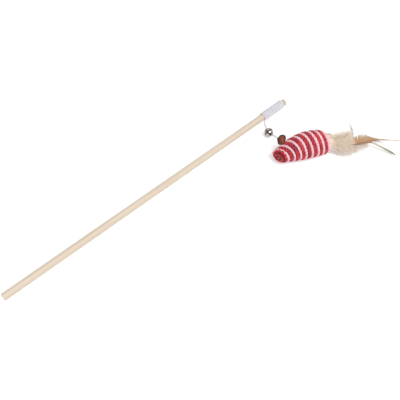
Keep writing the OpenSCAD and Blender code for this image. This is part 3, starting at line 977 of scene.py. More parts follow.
@dataclass
class Wand:
    """The dowel and the cord whipped to its tip."""

    rod_len: float = 400.0
    rod_r: float = 4.0
    rod_sides: int = 96
    edge: float = 0.5
    seat_depth: float = 0.2
    seat_margin: float = 1.2
    seat_step: float = 0.05
    cord_r: float = 0.8
    cord_flat_share: float = 1.12
    wind_gap: float = 0.1
    whip_turns: int = 15
    whip_gap: float = 0.48
    whip_steps: int = 64
    start_turn: float = 0.45
    start_x: float = 394.2
    slack: float = 0.12
    tail_len: float = 3.4
    tail_dir: Point = (0.9, 0.4, 0.3)
    stub_end_z: float = -1.6

    @property
    def wind_r(self) -> float:
        """Radius of the whipping's centreline."""
        return self.rod_r - self.seat_depth + self.wind_gap + self.cord_r

    @property
    def pitch(self) -> float:
        """Distance between two turns."""
        return 2 * self.cord_r + self.whip_gap

    @property
    def exit_x(self) -> float:
        """Where along the rod the cord leaves it."""
        return self.start_x - self.slack - self.pitch * (self.whip_turns + self.start_turn)

    def rod(self) -> Object:
        """The dowel: a cylinder with eased ends and a shallow seat."""
        bpy.ops.mesh.primitive_cylinder_add(
            vertices=self.rod_sides, radius=self.rod_r * MM, depth=self.rod_len * MM,
            end_fill_type="NGON", location=(self.rod_len / 2 * MM, 0, 0),
            rotation=(0, math.pi / 2, 0))
        rod = placed("rod_dowel")
        low, high = self.exit_x - self.seat_margin, self.start_x + self.seat_margin
        steps = [((x + step) * MM, 0, 0) for x in (low, high)
                 for step in (-self.seat_step, self.seat_step)]
        divide(rod, steps, (1, 0, 0))
        share = (self.rod_r - self.seat_depth) / self.rod_r
        for vertex in rod.data.vertices:
            if low * MM < vertex.co.x < high * MM:
                vertex.co.y *= share
                vertex.co.z *= share
        modify(rod, "BEVEL", width=self.edge * MM, segments=3, limit_method="ANGLE",
               angle_limit=math.radians(60))
        return smooth(rod, 50)

    def place(self, n: float) -> np.ndarray:
        """Point of the whipping's centreline, n turns before the cord leaves."""
        a = math.radians(90 + 360 * n)
        return np.array([self.exit_x + self.pitch * n + self.slack * min(n, 1),
                         -self.wind_r * math.sin(a), -self.wind_r * math.cos(a)])

    def whipping(self) -> Object:
        """The wound cord with its cut end and the straight start of the lead."""
        total = self.whip_turns + self.start_turn
        turns = np.linspace(total, 0, int(total * self.whip_steps))
        wound = np.array([self.place(n) for n in turns])
        out = wound * [0, 1, 1]
        aim = unit(np.array(self.tail_dir)) * self.tail_len
        tail = [wound[0] + aim * t for t in (1, 0.8, 0.6, 0.4, 0.2)]
        stub = [np.array([self.exit_x, -self.wind_r, self.stub_end_z * t])
                for t in (0.25, 0.5, 0.75, 1)]
        path = np.vstack([tail, wound, stub]) * MM
        outs = unit(np.vstack([[out[0]] * len(tail), out, [out[-1]] * len(stub)]))
        r = self.cord_r * MM
        strand = Strand(path, outs, r, r * self.cord_flat_share, CORD_LAY)
        return strand.build("whipping_cord", TABLE_Z * MM)

    def build(self, wood: Material, cord: Material) -> None:
        """Makes the wand's pieces and dresses them."""
        dress(self.rod(), wood, "wand", "wood", "rod")
        dress(self.whipping(), cord, "wand", "cord", "whipping")


@dataclass
class Lead:
    """The free cord with the knot below the bell and the knot at the nape."""

    cord_d: float = 1.6
    cord_step: float = 0.22
    pivot: Point = (361.944, -4.7, -2.65)
    route: Table = (
        (360.8, -5.7, -2.8), (359.3, -7, -2.9), (357.8, -8.9, -3.2),
        (356.4, -11, -3.4), (355.2, -13.4, -3.5), (354.3, -16, -3.5), (353.5, -18.6, -3.5),
        (353, -21, -3.5), (352.7, -23, -3.5), (352.5, -25, -3.5), (352.6, -27, -3.6),
        (353, -29, -3.8), (353.4, -30.9, -4.1), (353.6, -33, -4.4), (353.3, -35.5, -4.4),
        (352.4, -38, -4), (351.1, -40.4, -3), (349.6, -42.6, -1.3), (347.9, -44.6, 0.9),
        (346.2, -46, 3.35), (344.75, -47.2, 5.7), (343.45, -48.5, 7.6))
    end: Point = (342.55, -49.5, 8.9)
    bell_knot_point: int = 11
    bell_knot_d: float = 3.0
    bell_knot_turn: float = 0.4
    head_knot_d: float = 3.4
    head_knot_turn: float = 1.1
    knot_steps: int = 161
    knot_strand_share: float = 0.25
    knot_ring_shares: Span = (0.82, 0.28)
    knot_rise_share: float = 0.22

    def knot(self, name: str, middle: np.ndarray, along: np.ndarray, size: float,
             turn: float) -> Object:
        """A small overhand knot: a trefoil pulled tight round the cord.

        Args:
            name: Name of the piece.
            middle: Its centre.
            along: Direction of the cord through it.
            size: Its outer diameter.
            turn: Angle that it is turned by round the cord, in radians.

        Returns:
            The knot's object.
        """
        along = unit(along)
        side = unit(np.cross(along, UP))
        strand_r = size * self.knot_strand_share
        a = np.linspace(0, 2 * math.pi, self.knot_steps)
        wide, wave = self.knot_ring_shares
        ring = (size / 2 - strand_r) * (wide + wave * np.cos(3 * a))
        path = (middle + np.outer(ring * np.cos(2 * a + turn), side)
                + np.outer(ring * np.sin(2 * a + turn), np.cross(side, along))
                + np.outer(size * self.knot_rise_share * np.sin(3 * a), along))
        strand = Strand(path * MM, unit(path - middle), strand_r * MM, strand_r * MM,
                        KNOT_LAY)
        return strand.build(name)

    def build(self, material: Material) -> None:
        """Args:
            material: Material of the cord.
        """
        path = resample(np.array([self.pivot, *self.route, self.end]), self.cord_step) * MM
        r = self.cord_d / 2 * MM
        cord = Strand(path, UP, r, r, CORD_LAY).build("free_cord", TABLE_Z * MM)
        dress(cord, material, "lead", "cord", "cord")
        points = np.array(self.route)
        a, b = points[self.bell_knot_point], points[self.bell_knot_point + 1]
        lower = self.knot("bell_stop_knot", (a + b) / 2, b - a, self.bell_knot_d,
                          self.bell_knot_turn)
        dress(lower, material, "lead", "cord", "bell_knot")
        end = np.array(self.end)
        upper = self.knot("nape_knot", end, end - points[-1], self.head_knot_d,
                          self.head_knot_turn)
        dress(upper, material, "lead", "cord", "head_knot")
        LOG.info("free cord is %.4f m long", arc_lengths(path)[-1])


@dataclass
class Bell:
    """The jingle bell: a slotted shell, its hanging loop and the ball inside."""

    loop_at: Point = (352.7, -23.0, -3.5)
    bell_r: float = 5.5
    wall: float = 0.4
    tilt_deg: float = 42.0
    heading_deg: float = 190.0
    slot_turn_deg: float = -20.0
    loop_turn_deg: float = -10.0
    slot_w: float = 1.3
    hole_d: float = 1.8
    reach_deg: float = 62.0
    lip: float = 0.12
    seam_w: float = 0.22
    seam_h: float = 0.05
    seam_room: float = 0.02
    loop_bore: float = 2.3
    loop_wire: float = 1.0
    loop_sink: float = 0.15
    foot_from_share: float = 0.8
    foot_share: float = 0.42

    @property
    def ring_r(self) -> float:
        """Radius of the loop's centreline."""
        return (self.loop_bore + self.loop_wire) / 2

    @property
    def drop(self) -> float:
        """Distance from the loop's hole to the bell's centre."""
        return self.bell_r + self.ring_r + self.loop_wire / 2 - self.loop_sink

    def frame(self) -> Matrix:
        """Place and turn of the bell, with +Z out through the slots, in metres."""
        turn = (Matrix.Rotation(math.radians(self.heading_deg), 4, "Z")
                @ Matrix.Rotation(math.radians(self.tilt_deg), 4, "Y"))
        return (Matrix.Translation(Vector(self.loop_at) * MM) @ turn
                @ Matrix.Translation((0, 0, self.drop * MM)))

    def cutter(self, turn_deg: float) -> Object:
        """One slot with its round ends, as a solid to cut with.

        Args:
            turn_deg: Direction of the slot.

        Returns:
            The solid, round the bell's own axis.
        """
        reach = math.radians(self.reach_deg)
        bpy.ops.mesh.primitive_cube_add(size=1.0)
        cube = bpy.context.active_object
        cube.scale = (2 * self.bell_r * math.sin(reach) * MM, self.slot_w * MM,
                      self.bell_r * 2 * MM)
        cube.location = (0, 0, self.bell_r * (1 + math.cos(reach)) * MM)
        slot = placed("slot")
        for side in (-1, 1):
            bpy.ops.mesh.primitive_cylinder_add(
                vertices=32, radius=self.hole_d / 2 * MM, depth=self.bell_r * MM,
                location=(0, 0, self.bell_r * MM))
            hole = placed("slot_end")
            hole.data.transform(Matrix.Rotation(side * reach, 4, "Y"))
            combine(slot, hole, "UNION")
        slot.data.transform(Matrix.Rotation(math.radians(turn_deg), 4, "Z"))
        return slot

    def shell(self, inside: Material) -> Object:
        """The pressed shell: two half bowls with a faint seam, slots and rolled lips.

        Args:
            inside: Material of its inner face, dull steel darkened with painted shade.

        Returns:
            The shell's object.
        """
        bpy.ops.mesh.primitive_uv_sphere_add(
            segments=96, ring_count=64, radius=(self.bell_r - self.seam_room) * MM)
        shell = placed("bell_shell_plated")
        for vertex in shell.data.vertices:
            seam = math.exp(-(vertex.co.z / (self.seam_w * MM)) ** 2)
            vertex.co *= 1 + self.seam_h * MM * seam / vertex.co.length
        shell.data.materials.append(None)
        shell.data.materials.append(inside)
        modify(shell, "SOLIDIFY", thickness=self.wall * MM, offset=-1.0, material_offset=1)
        for turn in (self.slot_turn_deg, self.slot_turn_deg + 90):
            combine(shell, self.cutter(turn), "DIFFERENCE")
        modify(shell, "BEVEL", width=self.lip * MM, segments=2, limit_method="ANGLE",
               angle_limit=math.radians(50))
        shell.data.transform(self.frame())
        return smooth(shell, 50)

    def loop(self) -> Object:
        """The wire loop, whose feet go into the shell's pole."""
        bpy.ops.mesh.primitive_torus_add(
            major_radius=self.ring_r * MM, minor_radius=self.loop_wire / 2 * MM,
            major_segments=64, minor_segments=20)
        loop = placed("bell_wire_loop")
        divide(loop, [(0, 0, 0)], (0, 0, 1))
        loop.data.transform(Matrix.Rotation(math.pi / 2, 4, "X"))
        foot = (self.ring_r + self.foot_share * self.loop_wire) * MM
        for vertex in loop.data.vertices:
            if vertex.co.z > self.foot_from_share * self.ring_r * MM:
                vertex.co.z = min(vertex.co.z, foot)
        loop.data.transform(
            self.frame() @ Matrix.Translation((0, 0, -self.drop * MM))
            @ Matrix.Rotation(math.radians(self.loop_turn_deg), 4, "Z"))
        return smooth(loop, 60)

    def build(self, plating: Material, inside: Material, steel: Material) -> None:
        """Makes the bell's pieces and dresses them.

        Args:
            plating: Material of the shell and the loop.
            inside: Material of the shell's inner face, dull steel darkened with painted shade.
            steel: Material of the ball.
        """
        dress(self.shell(inside), plating, "bell", "bell_metal", "bell_shell")
        dress(self.loop(), plating, "bell", "bell_metal", "bell_loop")
        dress_node("bell_pea", steel)


# Mouse

@dataclass
class MouseForm:
    """Shape of the wound body, in the mouse's own frame.

    Stations are measured from the snout's face. An angle round the body is 0 away
    from the viewer and 90 upwards.
    """

    at: Point = (353.0, -68.2, TABLE_Z)
    heading_deg: float = -25.0
    length: float = 64.0
    radius: float = 16.0
    bend_len: float = 30.0
    bend_deg: float = 21.0
    snout_lift: float = 5.6
    belly_cut: float = 0.5
    girth_shares: Table = ((0, 0.56), (0.08, 0.61), (0.195, 0.73), (0.34, 0.88),
                           (0.485, 0.98), (0.63, 1), (0.775, 0.97), (0.87, 0.92),
                           (1, 0.81))
    start: float = 5.4
    end_gap: float = 1.65
    pitch_snout: float = 6.7
    pitch_tail: float = 8.9
    lean_snout_deg: float = 15.5
    slope_step: float = 0.5

    @property
    def white_to(self) -> float:
        """Turns of the white rope, counted from its first crossing of the back."""
        wound = self.length - self.start - self.end_gap
        return 2 * wound / (self.pitch_snout + self.pitch_tail)

    def girth(self, s: float) -> float:
        """Outer radius at station s."""
        return self.radius * smooth_at(self.girth_shares, clamp(s / self.length))

    def heading(self, s: float) -> float:
        """Heading of the centreline at station s, in radians."""
        return math.radians(clamp((self.bend_len - s) / self.bend_len) * self.bend_deg)

    def centre(self, s: float) -> np.ndarray:
        """Centre of the section at station s.

        Args:
            s: The station, below 0 in front of the face.

        Returns:
            The point.
        """
        a, over = self.heading(s), max(-s, 0)
        bend_r = self.bend_len / math.radians(self.bend_deg)
        straight = s >= self.bend_len
        x = s - self.bend_len if straight else -bend_r * math.sin(a) - over * math.cos(a)
        y = 0.0 if straight else -bend_r * (1 - math.cos(a)) - over * math.sin(a)
        lift = self.snout_lift * clamp(1 - 2 * s / self.length) ** 2
        return np.array([x, y, self.girth(s) - self.belly_cut + lift])

    def back(self, s: float) -> np.ndarray:
        """Direction of the centreline at station s, towards the tail."""
        return np.array([math.cos(self.heading(s)), math.sin(self.heading(s)), 0.0])

    def outward(self, s: float, around: float) -> np.ndarray:
        """Direction away from the centreline at an angle round the body."""
        a, t = self.heading(s), math.radians(around)
        return np.array([-math.sin(a) * math.cos(t), math.cos(a) * math.cos(t),
                         math.sin(t)])

    def normal(self, s: float, around: float) -> np.ndarray:
        """Outward normal of the surface."""
        slope = self.girth(s + self.slope_step) - self.girth(s - self.slope_step)
        return unit(self.outward(s, around) - self.back(s) * slope)

    def surface(self, s: float, around: float, depth: float = 0.0) -> np.ndarray:
        """Point of the surface, sunk by depth along its normal."""
        return (self.centre(s) + self.outward(s, around) * self.girth(s)
                - self.normal(s, around) * depth)

    def advance(self, v: float) -> float:
        """Station that the winding has come to at turn v."""
        return (self.start + self.pitch_snout * v
                + (self.pitch_tail - self.pitch_snout) * v * v / (2 * self.white_to))

    def station(self, v: float, around: float) -> float:
        """Station of the winding at turn v, with the turns' lean."""
        s = self.advance(v)
        lean = math.tan(math.radians(self.lean_snout_deg)) * (1 - clamp(s / self.length))
        return s - self.girth(s) * math.cos(math.radians(around)) * lean

    def row_direction(self, vectors: np.ndarray) -> np.ndarray:
        """Directions of the mouse's frame, turned into the row frame."""
        a = math.radians(self.heading_deg)
        turn = np.array([[math.cos(a), -math.sin(a), 0], [math.sin(a), math.cos(a), 0], UP])
        return np.asarray(vectors) @ turn.T

    def row(self, points: np.ndarray) -> np.ndarray:
        """Points of the mouse's frame as points of the row frame, in metres."""
        return (self.row_direction(points) + np.array(self.at)) * MM


@dataclass
class RopeWinding:
    """One paper rope wound on the body, with its plies.

    Turns are counted from the white rope's first crossing of the back.
    """

    form: MouseForm
    from_turn: float
    to_turn: float
    phase: float
    height: float
    drop: float
    width_share: float
    end_share: float
    lay: Lay
    start_swell_share: float = 0.0
    swell_turns: float = 1.3
    face_lean_share: float = 0.0
    lean_turns: float = 1.1
    nose_shift: float = 1.7
    nose_shift_shares: Table = ((-0.45, 0.15), (-0.25, 1), (0, 1.25), (0.35, 1.1), (1.2, 0.6),
                                (2.4, 0), (99, 0))
    tail_shift: float = 1.6
    tail_shift_shares: Table = ((0, 1), (0.8, 0.9), (1.4, 0.3), (2.2, 0), (99, 0))
    steps: int = 140
    spiral_turns: float = 0.0
    spiral_end_r: float = 2.9
    spiral_swell_share: float = 0.32
    spiral_lean_share: float = 0.55
    spiral_lean_gain: float = 1.4
    face_dome: float = 2.6
    end_r: float = 2.1
    end_shift: float = 1.0
    end_span: Span = (0.4, 5.2)
    end_steps: int = 24

    def around(self, v: float) -> float:
        """Angle round the body at turn v."""
        return 90 + 360 * (v - self.phase)

    def pushed(self, v: float) -> float:
        """How far turn v is pushed towards the nose."""
        left = max(self.form.white_to - v, 0)
        return (self.nose_shift * smooth_at(self.nose_shift_shares, v)
                + self.tail_shift * smooth_at(self.tail_shift_shares, left))

    def width(self, v: float, around: float) -> float:
        """Width of the rope at turn v, from the distance between its turns."""
        a, b = (self.form.surface(self.form.station(v + half, around), around)
                for half in (-0.5, 0.5))
        return float(np.linalg.norm(b - a)) * self.width_share

    def wound(self) -> tuple[list[np.ndarray], list[np.ndarray], list[float]]:
        """Points, outward directions and widths of the turns round the body."""
        form = self.form
        count = round((self.to_turn - self.from_turn) * self.steps)
        limit = form.length - self.end_share * form.pitch_tail / 2
        points, outs, widths = [], [], []
        for v in np.linspace(self.from_turn, self.to_turn, count + 1):
            around, past = self.around(v), v - self.from_turn
            s = min(form.station(v, around) - self.pushed(v), limit)
            lean = self.face_lean_share * max(1 - past / self.lean_turns, 0)
            swell = self.start_swell_share * max(1 - past / self.swell_turns, 0)
            points.append(form.surface(s, around, self.drop + self.height / 2))
            outs.append(unit(form.normal(s, around) - form.back(s) * lean))
            widths.append(self.width(v, around) * (1 + swell))
        return points, outs, widths

    def face(self) -> tuple[np.ndarray, np.ndarray, np.ndarray]:
        """Middle of the snout's face, its forward direction and its side."""
        tip = math.radians(self.form.bend_deg + self.form.lean_snout_deg)
        forward = np.array([-math.cos(tip), -math.sin(tip), 0.0])
        middle = self.form.centre(self.form.advance(self.from_turn))
        return middle, forward, np.cross(UP, -forward)

    def rope_end(self, name: str) -> Object:
        """Makes the rope's cut end, which stands out in the middle of the face.

        Args:
            name: Name of the piece.

        Returns:
            The end's object.
        """
        face, forward, side = self.face()
        span = np.linspace(0, 1, self.end_steps)
        path = (face + np.outer(np.linspace(*self.end_span, self.end_steps), forward)
                - np.outer(self.end_shift * span, side))
        radius = self.end_r * MM
        strand = Strand(self.form.row(path), UP, radius, radius, ROPE_END_LAY)
        return strand.build(name)

    def spiral(self, first: np.ndarray, width: float
               ) -> tuple[list[np.ndarray], list[np.ndarray], list[float]]:
        """Winds the rope on into a spiral that closes the snout's face.

        Args:
            first: First point of the turns round the body.
            width: Width of the rope there.

        Returns:
            Points, directions and widths, from the face's middle outwards.
        """
        face, forward, side = self.face()
        offset = first - face
        proud = float(offset @ forward)
        first_r = float(np.linalg.norm(offset - forward * proud))
        count = round(self.spiral_turns * self.steps)
        points, outs, widths = [], [], []
        for t in (i / count for i in range(count, 0, -1)):
            a = math.radians(self.around(self.from_turn - self.spiral_turns * t))
            r = first_r + (self.spiral_end_r - first_r) * t
            rise = proud + (self.face_dome - proud) * (1 - (1 - t) ** 2)
            aside = side * math.cos(a) + UP * math.sin(a)
            turned = min(self.spiral_lean_share + self.spiral_lean_gain * t, 1)
            points.append(face + forward * rise + aside * r)
            outs.append(unit(aside * (1 - turned) + forward * turned))
            widths.append(width * (1 + self.spiral_swell_share * min(2 * t, 1)))
        return points, outs, widths

    def build(self, name: str) -> Object:
        """Makes the rope's mesh.

        Args:
            name: Name of the piece.

        Returns:
            The rope's object.
        """
        rope = self.wound()
        if self.spiral_turns:
            spiral = self.spiral(rope[0][0], rope[2][0])
            rope = tuple(inner + outer for inner, outer in zip(spiral, rope))
        points, outs, widths = (np.array(column) for column in rope)
        strand = Strand(self.form.row(points), self.form.row_direction(outs),
                        self.height / 2 * MM, widths / 2 * MM, self.lay)
        return strand.build(name, TABLE_Z * MM)


@dataclass
class Ear:
    """One suede ear that stands on the nape."""

    name: str
    node: str
    station: float
    around: float
    aim_around: float
    lean_deg: float
    turn_deg: float
    height: float = 11.2
    width: float = 7.8
    thickness: float = 0.9
    foot_gap: float = 0.3
    cup_r: float = 9.0
    point_share: float = 0.25
    fold: float = 0.35
    fold_beats: Span = (1.3, 0.5)
    rim_tint: float = 1.3
    streak_tint: float = 1.2
    streak_share: float = 0.55
    streak_narrow: float = 1.3

    def petal(self, u: float, v: float) -> tuple[Vector, float]:
        """Place and tint of one point of the ear.

        Args:
            u: Place across a grid from -1 to 1.
            v: Place along it, -1 at the foot.

        Returns:
            The point of the cupped petal, and its tint.
        """
        angle = math.atan2(u, -v) if u or v else 0.0
        reach = max(abs(u), abs(v))
        x = (reach * self.width / 2 * math.sin(angle)
             * (1 - self.point_share * math.cos(angle)))
        y = self.height / 2 * (1 - reach * math.cos(angle))
        rim = y - self.height / 2
        cup = math.sqrt(max(self.cup_r ** 2 - x * x - rim * rim, 0))
        fold = math.sin(x * self.fold_beats[0] + y * self.fold_beats[1])
        z = (cup - math.sqrt(self.cup_r ** 2 - (self.height / 2) ** 2)
             + self.fold * fold * reach - self.thickness / 2)
        low = max(1 - y / (self.streak_share * self.height), 0)
        streak = low * max(1 - self.streak_narrow * abs(u), 0)
        return Vector((x, y, z)), (1 - reach) * self.rim_tint + self.streak_tint * streak

    def build(self, form: MouseForm, suede: Material) -> None:
        """Makes the ear from a grid that is cut to a petal, cupped and thickened.

        Args:
            form: Shape of the body that it stands on.
            suede: Its material.
        """
        bpy.ops.mesh.primitive_grid_add(x_subdivisions=24, y_subdivisions=30, size=2.0)
        ear = placed(self.name)
        tints = []
        for vertex in ear.data.vertices:
            vertex.co, tint = self.petal(vertex.co.x, vertex.co.y)
            tints.append(tint)
        add_tint(ear.data, tints)
        modify(ear, "SOLIDIFY", thickness=self.thickness, offset=0.0)
        modify(ear, "SUBSURF", levels=1, render_levels=1)
        lean = math.radians(self.lean_deg)
        outward = Vector(form.outward(self.station, self.aim_around) * math.cos(lean)
                         + form.back(self.station) * math.sin(lean))
        foot = form.surface(self.station, self.around, -self.foot_gap)
        ear.data.transform(
            Matrix.Scale(MM, 4) @ Matrix.Translation(form.at)
            @ Matrix.Rotation(math.radians(form.heading_deg), 4, "Z")
            @ Matrix.Translation(Vector(foot))
            @ Matrix.Rotation(math.atan2(outward.y, outward.x), 4, "Z")
            @ Matrix.Rotation(math.acos(outward.z), 4, "Y")
            @ Matrix.Rotation(math.radians(self.turn_deg), 4, "Z")
            @ Matrix.Rotation(math.pi / 2, 4, "X"))
        dress(smooth(ear, 60), suede, "mouse", "suede", self.node)


@dataclass
class TailForm:
    """Shape of the feather tail, in the mouse's frame."""

    form: MouseForm
    down_len: float = 27.0
    down_r: float = 16.5
    aside: float = 6.5
    sink: float = 3.0
    wide: float = 1.15
    high: float = 0.9
    socket: float = 8.0
    floor: float = 0.4
    bend_shares: Table = ((0, 0), (0.2, 0.35), (0.5, 0.9), (0.75, 1), (1, 1.1))
    core_r: float = 9.2
    core_slope: float = 0.215

    @property
    def end(self) -> np.ndarray:
        """Middle of the body's tail end."""
        return self.form.centre(self.form.length)

    def shift(self, x: float) -> np.ndarray:
        """How far the tail has drifted aside and sunk, x behind the tail end."""
        share = smooth_at(self.bend_shares, clamp(x / self.down_len))
        return np.array([0, self.aside, self.sink]) * share

    def place(self, x: float, radius: float, around: float) -> np.ndarray:
        """Point of the tail.

        Args:
            x: Its distance behind the tail end.
            radius: Its distance from the tail's axis.
            around: Its angle round the axis.

        Returns:
            The point, in the mouse's frame.
        """
        a = math.radians(around)
        q = self.end + [x, radius * math.cos(a) * self.wide, radius * math.sin(a) * self.high]
        q = q - self.shift(x)
        q[2] = max(q[2], self.floor)
        return q

    def on_core(self, x: float, over: float, around: float) -> np.ndarray:
        """Point over the core's skin, x behind its end or, below 0, ahead of it."""
        rise = self.core_slope * max(-x, 0)
        return self.place(x, self.core_r + rise + over, around) + UP * rise


class Tone(Enum):
    """Tone of a down plume."""

    WARM = "warm"
    ROSE = "rose"


PLUME_SHARES = ((0, 0.6), (0.1, 0.66), (0.22, 0.8), (0.34, 0.98), (0.6, 1.03), (0.88, 1.02),
                (1, 0.94))
NEAR_SHARES = ((0, 0.84), (0.1, 0.94), (0.3, 1.04), (0.6, 1.04), (0.88, 1.02), (1, 0.94))
LOW_SHARES = ((0, 0.86), (0.12, 0.95), (0.3, 1.04), (0.5, 1.04), (0.62, 0.94), (1, 0.7))


@dataclass
class Plume:
    """One plume of down, made of soft curling barbs.

    Its last barbs are a collar round the core's end and a sleeve on the core. Pairs
    are the limits of a random draw, and shares are shares of the plume's length or
    radius.
    """

    node: str
    place: int
    tone: Tone
    length: float = 27.0
    shares: Table = PLUME_SHARES
    barbs: int = 1200
    places: int = 7
    wisps: int = 30
    collar: int = 170
    sleeve: int = 150
    outside_to_share: float = 1.12
    outside_steps: int = 40
    start_share: float = 0.88
    start_power: float = 0.62
    reach: Span = (5.0, 12.0)
    stop_share: Span = (0.98, 1.05)
    wisp_share: Span = (1.0, 1.16)
    fill_share: Span = (0.02, 1.0)
    edge_share: Span = (0.92, 1.03)
    fan_deg: Span = (-30, 30)
    root_deg: Span = (-8, 8)
    root_share: Span = (0.1, 0.4)
    middle_share: float = 0.55
    bow_share: Span = (0.25, 0.75)
    curl: float = 0.55
    waves: Span = (1.0, 2.6)
    wave_start: Span = (0, 6.3)
    collar_start_share: float = 0.08
    collar_len_share: Span = (0.08, 0.22)
    collar_share: float = 0.86
    sleeve_from: Span = (-6.5, 0.5)
    sleeve_len: Span = (4.5, 8.0)
    sleeve_deg: Span = (-28, 28)
    sleeve_root: float = 0.15
    sleeve_bow: Span = (0.4, 1.4)
    sleeve_tip: Span = (-0.6, 1.8)
    sleeve_tip_deg: Span = (-9, 9)
    floor: float = 0.15
    facing_spread: float = 0.35
    half_width: Span = (0.06, 0.18)
    width_shares: tuple[float, ...] = (0.6, 1.0, 0.95, 0.8, 0.6, 0.38, 0.08)
    tint: Span = (0, 0.6)

    @property
    def around(self) -> float:
        """Angle of the plume's middle round the tail's axis."""
        return self.place * 360 / self.places

    def barb(self, k: int, span: np.ndarray, tail: TailForm, outside: Sequence[np.ndarray],
             rng: np.random.Generator) -> np.ndarray:
        """One barb of the plume's body or its collar.

        Args:
            k: Number of the barb.
            span: Shares of its length at which it has points.
            tail: Shape of the tail.
            outside: Shares of the plume's length, and the radius of its outside there.
            rng: Source of the random draws.

        Returns:
            The barb's points.
        """
        in_collar = k >= self.barbs - self.collar
        t0 = self.start_share * rng.uniform(0, 1) ** self.start_power
        t1 = min(t0 + rng.uniform(*self.reach) / self.length, rng.uniform(*self.stop_share))
        if in_collar:
            t0 *= self.collar_start_share
            t1 = t0 + rng.uniform(*self.collar_len_share)
        edge = tail.down_r * self.collar_share if in_collar else np.interp(t1, *outside)
        if k < self.wisps:
            edge *= rng.uniform(*self.wisp_share)
        radius = (edge * math.sqrt(rng.uniform(*self.fill_share))
                  * rng.uniform(*self.edge_share))
        angle = self.around + rng.uniform(*self.fan_deg)
        root_r = np.interp(t0, *outside) * rng.uniform(*self.root_share)
        root = tail.place(t0 * self.length, root_r, self.around + rng.uniform(*self.root_deg))
        tip = tail.place(t1 * self.length, radius, angle)
        t = t0 * (1 - self.middle_share) + t1 * self.middle_share
        middle = tail.place(t * self.length,
                            root_r + (radius - root_r) * rng.uniform(*self.bow_share), angle)
        curl = rng.normal(0, self.curl, 3)
        wave = np.sin(span * math.pi * rng.uniform(*self.waves)
                      + rng.uniform(*self.wave_start))
        return bow(root, middle, tip, span) + np.outer(wave * span, curl)

    def sleeve_barb(self, span: np.ndarray, tail: TailForm, rng: np.random.Generator
                    ) -> np.ndarray:
        """One barb that lies on the core's bare end and points backwards.

        Args:
            span: Shares of its length at which it has points.
            tail: Shape of the tail.
            rng: Source of the random draws.

        Returns:
            The barb's points.
        """
        x0 = rng.uniform(*self.sleeve_from)
        x1 = x0 + rng.uniform(*self.sleeve_len)
        angle = self.around + rng.uniform(*self.sleeve_deg)
        root = tail.on_core(x0, self.sleeve_root, angle)
        middle = tail.on_core((x0 + x1) / 2, rng.uniform(*self.sleeve_bow), angle)
        tip = tail.on_core(x1, rng.uniform(*self.sleeve_tip),
                           angle + rng.uniform(*self.sleeve_tip_deg))
        return bow(root, middle, tip, span)

    def build(self, tail: TailForm, material: Material) -> None:
        """Makes the plume's barbs and dresses them.

        Args:
            tail: Shape of the tail.
            material: The plume's material.
        """
        rng = np.random.default_rng(100 + self.place)
        steps = len(self.width_shares)
        span = np.linspace(0, 1, steps)
        stations = np.linspace(0, self.outside_to_share, self.outside_steps)
        radii = [tail.down_r * smooth_at(self.shares, min(t, 1)) for t in stations]
        points = np.array(
            [self.barb(k, span, tail, (stations, radii), rng) for k in range(self.barbs)]
            + [self.sleeve_barb(span, tail, rng) for _ in range(self.sleeve)])
        points[:, :, 2] = np.maximum(points[:, :, 2], self.floor)
        middle = points[:, steps // 2]
        axis = np.array([tail.place(x, 0.0, 0.0) for x in middle[:, 0] - tail.end[0]])
        facing = unit(middle - axis) + rng.normal(0, self.facing_spread, middle.shape)
        across = unit(np.cross(unit(points[:, -1] - points[:, 0]), facing))
        widths = np.array(self.width_shares) * rng.uniform(*self.half_width, (len(points), 1))
        verts, faces = ribbons(points, across, widths)
        tint = np.repeat(rng.uniform(*self.tint, len(points)), steps * 2)
        plume = mesh_object(f"{self.node}_down", tail.form.row(verts), faces.tolist(), tint)
        dress(plume, material, "mouse", "down", self.node)


